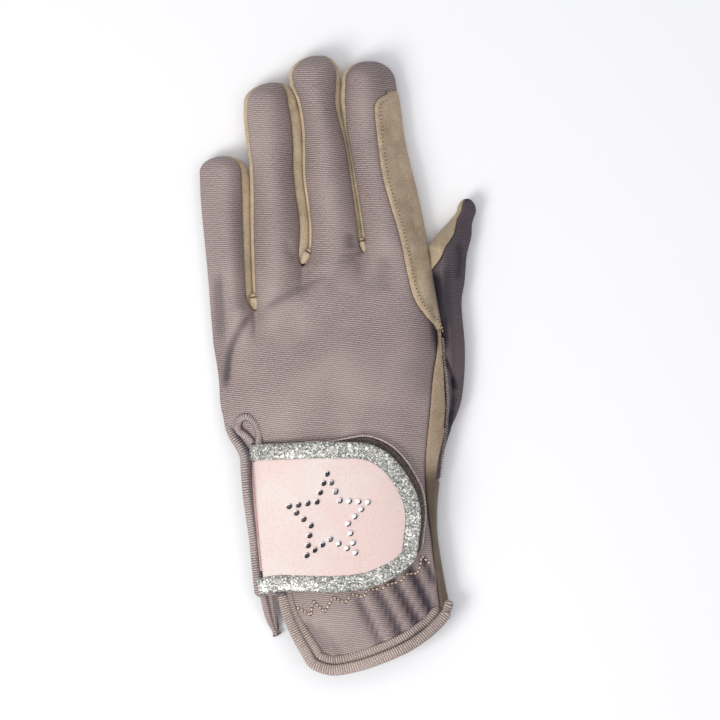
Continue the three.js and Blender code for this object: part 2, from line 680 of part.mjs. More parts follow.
// One panel as a closed wall: its outer face, its inner face, and the cut edge round it.
// Each border is drawn back from the seam by half the gap.
function panelGeometry(faces, wall) {
  const edges = new Set(faces.flatMap(([a, b, c]) => [`${a},${b}`, `${b},${c}`, `${c},${a}`]));
  const border = [];
  for (const [a, b, c] of faces) {
    for (const [from, to] of [[a, b], [b, c], [c, a]]) {
      if (!edges.has(`${to},${from}`)) border.push([from, to]);
    }
  }
  const drawn = new Map();
  for (const vertex of border.flat()) drawn.set(vertex, new THREE.Vector3());
  for (const [from, to] of border) {
    for (const vertex of [from, to]) {
      const inward = normals[vertex].clone().cross(points[to].clone().sub(points[from])).normalize();
      drawn.get(vertex).add(inward);
    }
  }
  const outer = new Map();
  const inner = new Map();
  for (const vertex of new Set(faces.flat())) {
    const place = points[vertex].clone();
    if (drawn.has(vertex)) {
      const inward = drawn.get(vertex);
      const corner = Math.max(0.5, inward.length() / 2);
      place.addScaledVector(inward.normalize(), seamGap / 2 / corner);
    }
    outer.set(vertex, place);
    inner.set(vertex, place.clone().addScaledVector(normals[vertex], -wall));
  }
  const triangles = [];
  for (const [a, b, c] of faces) {
    triangles.push(outer.get(a), outer.get(b), outer.get(c), inner.get(c), inner.get(b), inner.get(a));
  }
  for (const [from, to] of border) {
    triangles.push(outer.get(to), outer.get(from), inner.get(from), outer.get(to), inner.get(from), inner.get(to));
  }
  return new THREE.BufferGeometry().setFromPoints(triangles);
}

const finishes = {
  lycra: { color: 0x9e8f8b, roughness: 0.75, metalness: 0 },
  beigeSuede: { color: 0xa99a85, roughness: 0.95, metalness: 0 },
  pinkSuede: { color: 0xeeddd7, roughness: 0.9, metalness: 0 },
  glitter: { color: 0xb9b3ad, roughness: 0.35, metalness: 0.4 },
  hookBacking: { color: 0x3a3a3e, roughness: 0.9, metalness: 0 },
  crystal: { color: 0xdfe4ea, roughness: 0.05, metalness: 0.1 },
};
const glove = new THREE.Group();
function addMesh(name, geometry, finish) {
  const mesh = new THREE.Mesh(geometry, new THREE.MeshStandardMaterial(finishes[finish]));
  mesh.name = name;
  glove.add(mesh);
  return mesh;
}
const lycraPanels = ["back_panel", "thumb_back"];
for (const [name, faces] of panels) {
  const lycra = lycraPanels.includes(name);
  addMesh(name, panelGeometry(faces, lycra ? lycraWall : suedeWall), lycra ? "lycra" : "beigeSuede");
}

// A closed solid from a grid of upper points and the matching lower points; equal points merge.
function slabGeometry(rows, columns, upperAt, lowerAt) {
  const triangles = [];
  const corner = (at, j, i) => new THREE.Vector3(...at(i / columns, j / rows));
  const push = (a, b, c) => {
    if (a.distanceTo(b) > 1e-4 && b.distanceTo(c) > 1e-4 && c.distanceTo(a) > 1e-4) triangles.push(a, b, c);
  };
  const quad = (a, b, c, d) => {
    push(a, b, c);
    push(a, c, d);
  };
  for (let j = 0; j < rows; j += 1) {
    for (let i = 0; i < columns; i += 1) {
      const up = (dj, di) => corner(upperAt, j + dj, i + di);
      const low = (dj, di) => corner(lowerAt, j + dj, i + di);
      quad(up(0, 0), up(0, 1), up(1, 1), up(1, 0));
      quad(low(1, 0), low(1, 1), low(0, 1), low(0, 0));
    }
    quad(corner(lowerAt, j, 0), corner(upperAt, j, 0), corner(upperAt, j + 1, 0), corner(lowerAt, j + 1, 0));
    quad(corner(upperAt, j, columns), corner(lowerAt, j, columns),
      corner(lowerAt, j + 1, columns), corner(upperAt, j + 1, columns));
  }
  for (let i = 0; i < columns; i += 1) {
    quad(corner(lowerAt, 0, i), corner(lowerAt, 0, i + 1), corner(upperAt, 0, i + 1), corner(upperAt, 0, i));
    quad(corner(upperAt, rows, i), corner(upperAt, rows, i + 1),
      corner(lowerAt, rows, i + 1), corner(lowerAt, rows, i));
  }
  return new THREE.BufferGeometry().setFromPoints(triangles);
}

// The strap: its outline as a curve, its face inside the border, and the layer under both
const strapCurve = new THREE.CatmullRomCurve3(strapOutline.map((row) => new THREE.Vector3(
  strapPlace.across * palmWidth + row.across * strapLength,
  -strapPlace.down * handLength - row.down * strapHeight, 0)));
function strapPoint(t, inset) {
  const point = strapCurve.getPoint(t);
  const tangent = strapCurve.getTangent(t);
  return [point.x + tangent.y * inset, point.y - tangent.x * inset];
}
function strapFace(inset, along, across) {
  const top = strapPoint(along / 2, inset);
  const bottom = strapPoint(1 - along / 2, inset);
  return [mix(bottom[0], top[0], across), mix(bottom[1], top[1], across)];
}
const restHeight = (x, y) => handHeight(x, y) + strapClearance;
const faceLow = (x, y) => restHeight(x, y) + backingThickness + layerGap;
const faceTop = (x, y) => faceLow(x, y) + strapThickness;
const panelInset = strapBorder + pieceGap;
addMesh("strap_panel", slabGeometry(6, 18,
  (u, v) => { const [x, y] = strapFace(panelInset, u, v); return [x, y, faceTop(x, y)]; },
  (u, v) => { const [x, y] = strapFace(panelInset, u, v); return [x, y, faceLow(x, y)]; }), "pinkSuede");
const backingMove = (x, y) => [x + 0.7 * backingShift * clamp(x / 20), y + backingShift * clamp(x / 20)];
addMesh("strap_backing", slabGeometry(6, 18,
  (u, v) => { const [x, y] = backingMove(...strapFace(0.6, u, v)); return [x, y, restHeight(x, y) + backingThickness]; },
  (u, v) => { const [x, y] = backingMove(...strapFace(0.6, u, v)); return [x, y, restHeight(x, y)]; }), "hookBacking");
addMesh("strap_border", slabGeometry(1, 44,
  (u, v) => { const [x, y] = strapPoint(u, strapBorder * (1 - v)); return [x, y, faceTop(x, y)]; },
  (u, v) => { const [x, y] = strapPoint(u, strapBorder * (1 - v)); return [x, y, faceLow(x, y)]; }), "glitter");

// A band along a course: an oval section that stays level, closed by a cap at each end
function bandGeometry(course, width, height, steps, around, widthShare = () => 1) {
  const curve = new THREE.CatmullRomCurve3(course);
  const ring = (t) => {
    const centre = curve.getPoint(t);
    const tangent = curve.getTangent(t);
    const side = new THREE.Vector3(tangent.y, -tangent.x, 0).normalize();
    return Array.from({ length: around }, (unused, i) => {
      const angle = (2 * Math.PI * i) / around;
      const reach = new THREE.Vector3().addScaledVector(side, (width / 2) * widthShare(t) * Math.cos(angle));
      reach.z = (height / 2) * Math.sin(angle);
      return centre.clone().add(reach);
    });
  };
  const rings = evenShares(steps).map(ring);
  const triangles = [];
  for (let j = 0; j < steps; j += 1) {
    for (let i = 0; i < around; i += 1) {
      const k = (i + 1) % around;
      triangles.push(rings[j][i], rings[j + 1][i], rings[j + 1][k], rings[j][i], rings[j + 1][k], rings[j][k]);
    }
  }
  for (let i = 1; i < around - 1; i += 1) {
    triangles.push(rings[0][0], rings[0][i], rings[0][i + 1]);
    triangles.push(rings[steps][0], rings[steps][i + 1], rings[steps][i]);
  }
  return new THREE.BufferGeometry().setFromPoints(triangles);
}
function cuffCourse(insetAt, drop) {
  return evenShares(24).map((t) => {
    const [x, y] = cuffPoint(t, insetAt(t));
    return new THREE.Vector3(x, y, handHeight(x, y) - drop);
  });
}
addMesh("cuff_binding", bandGeometry(
  cuffCourse(() => bindingWidth / 2, lycraWall / 2), bindingWidth, bindingHeight, 30, 8), "lycra");
addMesh("cuff_piping", bandGeometry(
  cuffCourse((t) => bindingWidth + pieceGap + pipingAt(t) / 2, lycraWall / 2),
  pipingWidth, pipingHeight, 30, 8, (t) => pipingAt(t) / pipingWidth), "lycra");
const sideBindingZ = palmRise + sideBindingHeight / 2 + pieceGap;
addMesh("side_binding", bandGeometry(bindingCourse.map((row) => new THREE.Vector3(
  row.across * palmWidth, -row.down * handLength, sideBindingZ)), bindingWidth, sideBindingHeight, 24, 10), "lycra");

// The hanging loop: a round cord course over the back, and the pointed tail below the side binding
const loopPoints = loopCourse.map((row) => {
  const x = row.across * palmWidth;
  const y = -row.down * handLength;
  return new THREE.Vector3(x, y, handHeight(x, y) + loopDiameter / 2 + 2 * pieceGap);
});
addMesh("hanging_loop", bandGeometry(loopPoints, loopDiameter, loopDiameter, 26, 8), "lycra");
const tailTop = -flankEnd.down * handLength - seamGap;
const tailLeft = flankEnd.right * palmWidth - tailWidth;
function tailPoint(share, down, lift) {
  const width = tailWidth * (1 - down) ** 0.8;
  const x = tailLeft + tailWidth * (1 + 0.06 * down) - width * (1 - share);
  const droop = mix(sideBindingZ - 1.5, pieceGap, smoothStep(down));
  return [x, tailTop - tailLength * down, droop + lift * (1 - 0.5 * down)];
}
addMesh("hem_tail", slabGeometry(8, 3, (u, v) => tailPoint(u, 1 - v, tailThickness), (u, v) => tailPoint(u, 1 - v, 0)), "lycra");

// The star: five points and five hollows, with two stones between each pair, on the strap's face
const starSides = 10;
const stonesPerSide = 3;
const starX = strapPlace.across * palmWidth + starPlace.across * strapLength;
const starY = -strapPlace.down * handLength - starPlace.down * strapHeight;
function starCorner(index) {
  const radius = index % 2 ? starInnerRadius : starRadius;
  const angle = (Math.PI * (index / 5 + 0.5)) + (starTilt * Math.PI) / 180;
  return [starX + radius * Math.cos(angle), starY + radius * Math.sin(angle)];
}
function stoneGeometry() {
  const sides = 8;
  const rings = [
    { radius: 0.78, height: 0 },
    { radius: 1, height: 0.3 },
    { radius: 0.58, height: 1 },
  ];
  const corner = (ring, i) => new THREE.Vector3(
    (stoneDiameter / 2) * ring.radius * Math.cos((2 * Math.PI * i) / sides),
    (stoneDiameter / 2) * ring.radius * Math.sin((2 * Math.PI * i) / sides),
    stoneHeight * ring.height);
  const triangles = [];
  for (let r = 0; r < rings.length - 1; r += 1) {
    for (let i = 0; i < sides; i += 1) {
      triangles.push(corner(rings[r], i), corner(rings[r], i + 1), corner(rings[r + 1], i + 1));
      triangles.push(corner(rings[r], i), corner(rings[r + 1], i + 1), corner(rings[r + 1], i));
    }
  }
  for (let i = 1; i < sides - 1; i += 1) {
    triangles.push(corner(rings[2], 0), corner(rings[2], i), corner(rings[2], i + 1));
    triangles.push(corner(rings[0], 0), corner(rings[0], i + 1), corner(rings[0], i));
  }
  return new THREE.BufferGeometry().setFromPoints(triangles);
}
for (let index = 0; index < starSides * stonesPerSide; index += 1) {
  const side = Math.floor(index / stonesPerSide);
  const share = (index % stonesPerSide) / stonesPerSide;
  const from = starCorner(side);
  const to = starCorner(side + 1);
  const x = mix(from[0], to[0], share);
  const y = mix(from[1], to[1], share);
  const probe = stoneDiameter / 2;
  const slopeX = (faceTop(x + probe, y) - faceTop(x - probe, y)) / (2 * probe);
  const slopeY = (faceTop(x, y + probe) - faceTop(x, y - probe)) / (2 * probe);
  const stone = addMesh(`stone_${String(index + 1).padStart(2, "0")}`, stoneGeometry(), "crystal");
  const up = new THREE.Vector3(-slopeX, -slopeY, 1).normalize();
  stone.quaternion.setFromUnitVectors(new THREE.Vector3(0, 0, 1), up);
  stone.position.set(x, y, faceTop(x, y)).addScaledVector(up, stoneClearance);
}

// The origin is the middle of the footprint, on the surface that the glove lies on.
const box = new THREE.Box3().setFromObject(glove);
glove.position.set(-(box.min.x + box.max.x) / 2, -(box.min.y + box.max.y) / 2, -box.min.z);

export default glove;
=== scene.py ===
import math

import bmesh
import bpy
import numpy as np
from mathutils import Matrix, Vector


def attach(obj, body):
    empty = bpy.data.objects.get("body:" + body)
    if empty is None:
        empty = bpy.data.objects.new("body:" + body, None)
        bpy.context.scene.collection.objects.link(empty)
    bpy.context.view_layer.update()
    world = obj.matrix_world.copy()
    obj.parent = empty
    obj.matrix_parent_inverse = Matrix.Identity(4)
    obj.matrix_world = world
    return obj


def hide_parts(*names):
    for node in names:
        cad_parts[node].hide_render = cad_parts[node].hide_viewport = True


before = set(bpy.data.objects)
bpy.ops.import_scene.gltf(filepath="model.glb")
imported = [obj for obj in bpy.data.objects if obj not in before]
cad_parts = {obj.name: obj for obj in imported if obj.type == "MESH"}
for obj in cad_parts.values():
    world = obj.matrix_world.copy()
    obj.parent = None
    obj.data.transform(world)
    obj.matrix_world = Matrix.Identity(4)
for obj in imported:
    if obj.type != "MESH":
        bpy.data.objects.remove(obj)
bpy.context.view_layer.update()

# ## The sewn shell
# The real glove is one closed skin of stretch cloth and suede panels, sewn edge to edge on the hand's form.
# Its whole surface is worked out here once, and every panel further down is cut out of it along the seams.
# While it is drawn, lengths are millimetres: x = 0 is the middle of the hand, y = 0 the knuckles.
PALM_WIDTH = 79.2
HAND_LENGTH = 113.8
PALM_HEIGHT = 20.5
SIDE_HEIGHT = 9.0
SEAM_HEIGHT = 8.2
TIP_HEIGHT = 5.6
SIDE_INSET = 3.4
PALM_INSET = 1.5
PALM_UPTURN = 2.4
UPTURN_SHARE = 0.15
WRIST_Y = -67.5
THUMB_BASE = -29.4
THUMB_FOOT = -47.0
SLIT_ROUNDING = 4.2
WRIST_SLIT_TOP = -45.5
WRIST_SLIT_GAP = 2.8
WRIST_MIDDLE = np.array([8.7, -70.6])
HEM_INSET = 3.3
PIPING_WIDTH = 2.9
CELL = 0.65
HAIR = 1e-6
# From the middle of the hand to the middle of the frame that all pieces share
SHIFT = np.array([-0.098, 6.722, 0.0])
# The hem of the little finger's side: x at its two edges, and y
FLANK_HEM = (-25.2, -21.4, -86.7)

# Each finger: root x, base y, reach, lean, width, height, seam insets left and right, and its outline:
# share of the reach, half width left, half width right
FINGERS = {
    "little": (-35.1, 0.0, 65.5, -0.06, 15.6, 12.6, SIDE_INSET, 2.1, [
        (0.0, 0.504, 0.489), (0.206, 0.525, 0.448), (0.343, 0.532, 0.438), (0.554, 0.564, 0.452),
        (0.766, 0.594, 0.483), (0.913, 0.582, 0.496)]),
    "ring": (-18.5, 0.0, 91.1, -0.027, 19.0, 14.2, 1.0, 2.8, [
        (0.0, 0.53, 0.382), (0.148, 0.54, 0.418), (0.315, 0.55, 0.458), (0.456, 0.545, 0.505),
        (0.566, 0.53, 0.45), (0.665, 0.53, 0.414), (0.779, 0.592, 0.419), (0.858, 0.625, 0.391),
        (0.919, 0.618, 0.349)]),
    "middle": (-0.55, 0.0, 100.4, -0.052, 18.0, 14.8, 0.8, 0.9, [
        (0.0, 0.596, 0.365), (0.286, 0.441, 0.555), (0.39, 0.381, 0.584), (0.5, 0.407, 0.529),
        (0.583, 0.444, 0.49), (0.669, 0.422, 0.44), (0.755, 0.413, 0.36), (0.831, 0.472, 0.303),
        (0.886, 0.604, 0.329), (0.924, 0.645, 0.355)]),
    "index": (20.9, 0.0, 98.4, -0.098, 20.1, 14.6, 0.9, SIDE_INSET, [
        (0.0, 0.741, 0.769), (0.341, 0.425, 0.669), (0.397, 0.42, 0.649), (0.489, 0.439, 0.607),
        (0.601, 0.478, 0.532), (0.685, 0.515, 0.469), (0.742, 0.539, 0.444), (0.847, 0.569, 0.43),
        (0.931, 0.526, 0.402)]),
    "thumb": (38.9, THUMB_BASE, 80.2, 0.073, 14.5, 14.0, 1.2, SIDE_INSET, [
        (0.0, 0.476, 0.014), (0.095, 0.519, 0.195), (0.164, 0.549, 0.243), (0.268, 0.596, 0.249),
        (0.371, 0.642, 0.207), (0.552, 0.723, 0.06), (0.639, 0.762, 0.096), (0.755, 0.814, 0.104),
        (0.837, 0.669, 0.18), (0.891, 0.43, 0.177), (0.941, 0.214, 0.245)]),
}
# Where a finger's side seam is drawn in less below a share of its reach: the part kept, and that share
SEAM_KEPT = {("ring", 0): (0.55, 0.72), ("middle", 0): (0.0, 0.8), ("middle", 1): (0.3, 0.72),
             ("index", 0): (0.0, 0.74)}
# Ends of the slits between neighbours: x, y, and how far below it the fingers start to round
SLITS = [(-28.5, 12.1, 14.0), (-12.0, 27.65, 14.0), (9.0, 32.5, 14.0), (31.0, 34.0, 52.0)]
# Slits narrower than this are closed by their gussets, which swell until they meet
SLIT_CLOSED = [1.7, 3.2, 3.2]
NAMES = list(FINGERS)
# Two fingers have a second strip of their back: the suede patch, and the thumb's suede half
STRIP_FINGER = {"patch": "index", "leaf": "thumb"}
# Down the hand: share of its length below the knuckles, then in shares of its width the left outline,
# the wrist slit, the ring line, the index line, the suede's edge, the thumb line and the right outline,
# and the share of its height
HAND_ROWS = [
    (-0.049, -0.551, -0.353, -0.146, 0.072, 0.439, 0.4545, 0.556, 0.78),
    (0.0, -0.542, -0.352, -0.142, 0.076, 0.442, 0.459, 0.557, 0.82),
    (0.091, -0.521, -0.348, -0.135, 0.083, 0.421, 0.468, 0.554, 0.93),
    (0.211, -0.503, -0.335, -0.128, 0.09, 0.406, 0.474, 0.52, 1.0),
    (0.289, -0.442, -0.315, -0.12, 0.098, 0.395, 0.463, 0.482, 0.99),
    (0.35, -0.401, -0.29, -0.115, 0.102, 0.388, 0.448, 0.46, 0.95),
    (0.41, -0.391, -0.273, -0.111, 0.107, 0.388, 0.434, 0.449, 0.9),
    (0.502, -0.378, -0.26, -0.098, 0.124, 0.397, 0.432, 0.437, 0.82),
    (0.593, -0.36, -0.251, -0.085, 0.142, 0.417, 0.434, 0.441, 0.76),
    (0.78, -0.328, -0.255, -0.069, 0.159, 0.447, 0.465, 0.487, 0.73),
    (1.0, -0.29, -0.26, -0.05, 0.18, 0.5, 0.53, 0.55, 0.7)]
LEFT, WRIST_SLIT, RING_LINE, INDEX_LINE, PATCH_LINE, THUMB_LINE, RIGHT, TOP = range(1, 9)
PATCH_EDGE = [(0.056, 0.712), (0.074, 0.675), (0.102, 0.558), (0.144, 0.42), (0.186, 0.347), (0.301, 0.271),
              (0.392, 0.222), (0.489, 0.124), (0.598, 0.03), (0.721, 0.012), (0.801, 0.008), (0.842, 0.03),
              (0.861, 0.1), (0.874, 0.2), (0.883, 0.34), (0.889, 0.56)]
PATCH_TOP = 0.889
PATCH_FOOT = 5.58
THUMB_LEAF = [(0.69, 0.0), (0.742, 0.43), (0.803, 0.62), (0.876, 0.6), (0.941, 0.0), (1.0, 0.0)]
CUFF_EDGE = [(-0.262, 0.757), (-0.243, 0.815), (-0.207, 0.874), (-0.162, 0.932), (-0.118, 0.978),
             (-0.026, 1.0), (0.079, 0.99), (0.197, 0.964), (0.312, 0.929), (0.391, 0.894),
             (0.452, 0.858), (0.489, 0.828)]


def mix(a, b, share):
    return a + (b - a) * share


def clamp(value):
    return np.clip(value, 0.0, 1.0)


def ease(value):
    """Goes from 0 to 1 with level ends: 3 t squared less 2 t cubed."""
    t = clamp(value)
    return t * t * (3 - 2 * t)


def read(rows, column, at):
    """A column of a table at any key: a cubic between rows, with slopes from the rows on either side."""
    table = np.array(rows, float)
    key, value = table[:, 0], table[:, column]
    at = np.clip(at, key[0], key[-1])
    i = np.clip(np.searchsorted(key, at, side="right") - 1, 0, len(key) - 2)
    before, after = np.maximum(np.arange(len(key)) - 1, 0), np.minimum(np.arange(len(key)) + 1, len(key) - 1)
    slope = (value[after] - value[before]) / (key[after] - key[before])
    width = key[i + 1] - key[i]
    t = (at - key[i]) / width
    rise = value[i + 1] - value[i]
    start, end = slope[i] * width - rise, rise - slope[i + 1] * width
    return value[i] + t * rise + t * (1 - t) * (start * (1 - t) + end * t)


def unit(vectors):
    return vectors / np.linalg.norm(vectors, axis=-1, keepdims=True)


def lengths(points):
    """How far along a line each of its points lies."""
    return np.concatenate([[0], np.cumsum(np.linalg.norm(np.diff(points, axis=0), axis=1))])


def sampled(line, keys, at):
    """Places on a line at any key, straight between its points."""
    return np.stack([np.interp(at, keys, column) for column in line.T], -1)


def grid_faces(rows, columns, closed=False, turned=False):
    """The four-sided faces of a grid of points. A closed one goes on from its last column to its first."""
    index = np.arange(rows * columns).reshape(rows, columns)
    beside = np.roll(index, -1, 1)
    quads = np.stack([index[:-1], beside[:-1], beside[1:], index[1:]], -1)
    quads = quads if closed else quads[:, :-1]
    return quads[..., [0, 3, 2, 1]] if turned else quads


def hand_line(column, y):
    return read(HAND_ROWS, column, -y / HAND_LENGTH) * PALM_WIDTH


def along(name, y):
    return (y - FINGERS[name][1]) / FINGERS[name][2]


def closing(name, y):
    """1 along a finger and down to 0 at its tip, on a quarter of an ellipse."""
    start = FINGERS[name][8][-1][0]
    past = clamp((along(name, y) - start) / (1 - start))
    return np.sqrt(1 - past * past)


def finger_line(name, rows, column, y, sign=1):
    """A line on a finger: its leaning axis plus a share of its width, drawn in with the tip."""
    root, base, reach, lean, width = FINGERS[name][:5]
    t = along(name, y)
    return root + lean * reach * t + sign * read(rows, column, t) * width * closing(name, y)


def slit_at(name, side):
    """The number of the slit at one side of a finger. The hand's outer sides have none: they get -1 and 4."""
    return NAMES.index(name) - (0 if side else 1)


def parted(k, y):
    """How far two fingers have parted above the end of their slit: the root of the share of its rounding."""
    return np.sqrt(clamp((y - SLITS[k][1]) / SLIT_ROUNDING))


def outline(name, side, y):
    """One side of a finger, drawn together into the end of the slit on that side."""
    x = finger_line(name, FINGERS[name][8], 1 + side, y, 1 if side else -1)
    k = slit_at(name, side)
    return mix(SLITS[k][0], x, parted(k, y)) if 0 <= k < 4 else x


def left_outline(y):
    return np.where(y > 0, outline("little", 0, y), hand_line(LEFT, y))


def right_outline(y):
    return np.where(y > THUMB_BASE, outline("thumb", 1, y), hand_line(RIGHT, y))


def dividing(k, y):
    """The line down the hand below a slit."""
    column = (WRIST_SLIT, RING_LINE, INDEX_LINE, THUMB_LINE)[k]
    start = hand_line(column, np.array(PATCH_FOOT))
    above = mix(start, SLITS[k][0], (y - PATCH_FOOT) / (SLITS[k][1] - PATCH_FOOT))
    return np.where(y <= PATCH_FOOT, hand_line(column, y), above)


def seam(name, side, y):
    """The upper seam at one side of a finger, and of the hand below it."""
    k = slit_at(name, side)
    inward = -1 if side else 1
    if 0 <= k < 4:
        opened = parted(k, y) * closing(name, y)
        kept, share = SEAM_KEPT.get((name, side), (1.0, 0.0))
        inset = FINGERS[name][6 + side] * mix(kept, 1, ease((along(name, y) - share) / 0.1))
        above = outline(name, side, y) + inward * inset * opened
        x = np.where(y > SLITS[k][1], above, dividing(k, y))
        return x if k < 3 else np.where(y <= THUMB_BASE, seam("thumb", 1, y), x)
    if name == "little":
        room = 0.4 * (dividing(0, np.minimum(y, SLITS[0][1])) - left_outline(y))
        return left_outline(y) + np.where(y > 0, SIDE_INSET * closing(name, y), np.minimum(SIDE_INSET, room))
    base = np.maximum(y, THUMB_BASE)
    room = 0.6 * (outline("thumb", 1, base) - dividing(3, np.minimum(base, SLITS[3][1])))
    return right_outline(y) - np.minimum(SIDE_INSET, room) * closing("thumb", y)


def palm_line(name, side, y):
    """The lower seam at one side, where the palm ends."""
    k = slit_at(name, side)
    inward = -PALM_INSET if side else PALM_INSET
    if 0 <= k < 4:
        above = outline(name, side, y) + inward * (parted(k, y) * closing(name, y))
        if k < 3:
            return np.where(y > SLITS[k][1], above, dividing(k, y))
        base = right_outline(np.array(THUMB_BASE)) - 6.5
        between = mix(base, SLITS[3][0], (y - THUMB_BASE) / (SLITS[3][1] - THUMB_BASE))
        outer = right_outline(y) - PALM_INSET * closing("thumb", y)
        return np.where(y > SLITS[3][1], above, np.where(y <= THUMB_BASE, outer, between))
    edge = left_outline(y) if name == "little" else right_outline(y)
    return edge + inward * closing(name, y)


def hand_height(x, y):
    """The back of the hand as a dome: 1 less the share across to the power 2.3, easing on past the sides."""
    left = seam("little", 0, np.minimum(y, 0))
    upper = mix(dividing(3, np.minimum(y, SLITS[3][1])), right_outline(y), 0.5)
    right = mix(seam("thumb", 1, np.minimum(y, THUMB_BASE)), upper, ease((y - THUMB_BASE) / 16 + 0.1))
    across = np.abs((2 * x - left - right) / (right - left))
    past = np.maximum(0, across - 1)
    dome = 1 - np.minimum(1, across) ** 2.3 - 2.3 * 0.08 * (1 - np.exp(-past / 0.08))
    top = read(HAND_ROWS, TOP, -y / HAND_LENGTH) * PALM_HEIGHT
    return SIDE_HEIGHT + (top - SIDE_HEIGHT) * dome


def back_height(name, x, y):
    """The hand's dome turning into each finger's own: a parabola over the finger's seams."""
    left, right = seam(name, 0, y), seam(name, 1, y)
    share = np.where(right > left + HAIR, clamp((x - left) / np.maximum(right - left, HAIR)), 0.5)
    turned = []
    for side in (0, 1):
        if name == "thumb" and side == 1:
            turned.append(ease((y - THUMB_BASE) / 26))
            continue
        k = min(max(slit_at(name, side), 0), 3)
        turned.append(ease((y - SLITS[k][1] + SLITS[k][2]) / SLITS[k][2]))
    part = mix(turned[0], turned[1], share)
    height = FINGERS[name][5]
    top = mix(mix(PALM_HEIGHT * 0.76, height, 0.5), height, clamp(along(name, y)))
    crown = np.minimum(top - SEAM_HEIGHT, 0.46 * (right - left))
    dome = SEAM_HEIGHT + crown * (1 - (2 * share - 1) ** 2)
    return mix(hand_height(x, y), mix(TIP_HEIGHT, dome, closing(name, y)), part)


def course(points, count):
    """A smooth line through the points, cubic in the length of the straight pieces between them."""
    points = np.array(points, float)
    length = lengths(points)
    at = np.linspace(0, length[-1], count)
    rows = np.column_stack([length, points])
    return np.column_stack([read(rows, 1 + k, at) for k in range(points.shape[1])])


cuff_fine = course(np.array(CUFF_EDGE) * [PALM_WIDTH, -HAND_LENGTH], 400)


def cuff_point(t, inset):
    """A place along the cuff's edge, moved inwards at right angles to it."""
    at = clamp(t) * (len(cuff_fine) - 1)
    number = np.arange(len(cuff_fine))
    turn = sampled(unit(np.gradient(cuff_fine, axis=0)), number, at)
    return sampled(cuff_fine, number, at) + np.stack([-turn[..., 1] * inset, turn[..., 0] * inset], -1)


def piping_width(t):
    return PIPING_WIDTH * mix(0.5, 1, ease(t / 0.3))


def hem_end(t):
    """Where the cloth ends inside the two bindings, drawn in towards the middle of the wrist."""
    edge = cuff_point(t, 0)
    return edge + unit(WRIST_MIDDLE - edge) * (HEM_INSET * mix(1, 0.7, ease((t - 0.86) / 0.14)))[..., None]


def wrist_gap(y):
    """How far the slit over the wrist gapes below its upper end."""
    return WRIST_SLIT_GAP * clamp((WRIST_SLIT_TOP - y) / (WRIST_SLIT_TOP - WRIST_Y)) ** 0.7


def to_cuff(x, y, hem, flank):
    """Rows below the wrist: each place moves on a straight line towards its own place at the hem."""
    slit = dividing(0, np.array(WRIST_Y)) + WRIST_SLIT_GAP
    right = seam("thumb", 1, np.array(WRIST_Y))
    if flank is None:
        end = hem_end(clamp((x - slit) / (right - slit)))
    else:
        end = np.stack([mix(*FLANK_HEM[:2], flank) + 0 * x, FLANK_HEM[2] + 0 * x], -1)
    return mix(x, end[..., 0], hem), mix(y, end[..., 1], hem)


def strip_edges(strip, y):
    """Left and right edge of a strip of the back."""
    if strip in ("patch", "index"):
        edge = seam("index", 1, y)
        line = np.where(y > PATCH_FOOT, finger_line("index", PATCH_EDGE, 1, y), hand_line(PATCH_LINE, y))
        inner = np.where(along("index", y) > PATCH_TOP, edge, np.minimum(line, edge))
        return (inner, edge) if strip == "patch" else (seam("index", 0, y), inner)
    if strip in ("leaf", "thumb"):
        left, right = seam("thumb", 0, y), seam("thumb", 1, y)
        line = mix(left, right, clamp(read(THUMB_LEAF, 1, along("thumb", y))))
        return (left, line) if strip == "leaf" else (line, right)
    opened = wrist_gap(y) if strip == "ring" else 0
    return seam(strip, 0, y) + opened, seam(strip, 1, y)


def back_point(strip, y, hem, share):
    left, right = strip_edges(strip, y)
    x = mix(left, right, share)
    px, py = to_cuff(x, y, hem, share if strip == "little" else None)
    z = np.where(hem > 0, hand_height(px, py), back_height(STRIP_FINGER.get(strip, strip), x, y))
    return np.stack([px, py, z], -1)


def palm_point(name, y, hem, share):
    """The palm lies level and turns up towards its seams."""
    left, right = palm_line(name, 0, y), palm_line(name, 1, y)
    x = mix(left + (wrist_gap(y) if name == "ring" else 0), right, share)
    px, py = to_cuff(x, y, hem, share if name == "little" else None)
    lift = 0
    for side, near in ((0, share), (1, 1 - share)):
        k = slit_at(name, side)
        rise = ease((y - SLITS[k][1] + 6) / 6) if 0 <= k < 4 else 1 + 0 * y
        if name == "index" and side:
            rise = np.where(y <= THUMB_BASE, 1, rise)
        lift = lift + PALM_UPTURN * rise * clamp(1 - near / UPTURN_SHARE) ** 2
    z = mix(TIP_HEIGHT, lift, closing(name, y))
    return np.stack([px, py, z + 0 * px], -1)


def wall_point(upper, lower, out, share):
    """A side wall from its upper edge to its lower one, swelling out to the outline in half a sine wave."""
    point = mix(upper, lower, share[..., None])
    swell = out - (upper[..., 0] + lower[..., 0]) / 2
    point[..., 0] += swell * np.sin(np.pi * share)
    return point


def filled(start, end):
    return np.linspace(start, end, max(2, int(abs(end - start) / CELL) + 1))


keys = sorted({WRIST_Y, THUMB_BASE, WRIST_SLIT_TOP, 0.0, PATCH_FOOT, *(s[1] for s in SLITS)})
common = np.unique(np.concatenate([filled(a, b) for a, b in zip(keys, keys[1:])]))
hems = np.linspace(1, 0, 30)[:-1]


def rows_of(name):
    """Every row of a finger from the hem to its tip, closer together where the tip rounds."""
    base, reach = FINGERS[name][1:3]
    shoulder = base + FINGERS[name][8][-1][0] * reach
    tip = base + reach
    end = shoulder + (tip - shoulder) * np.sin(0.5 * np.pi * np.linspace(0, 1, 15)[1:])
    y = np.concatenate([WRIST_Y + 0 * hems, common, filled(SLITS[3][1], shoulder)[1:], end])
    hem = np.concatenate([hems, np.zeros(len(y) - len(hems))])
    return y[:, None], hem[:, None]


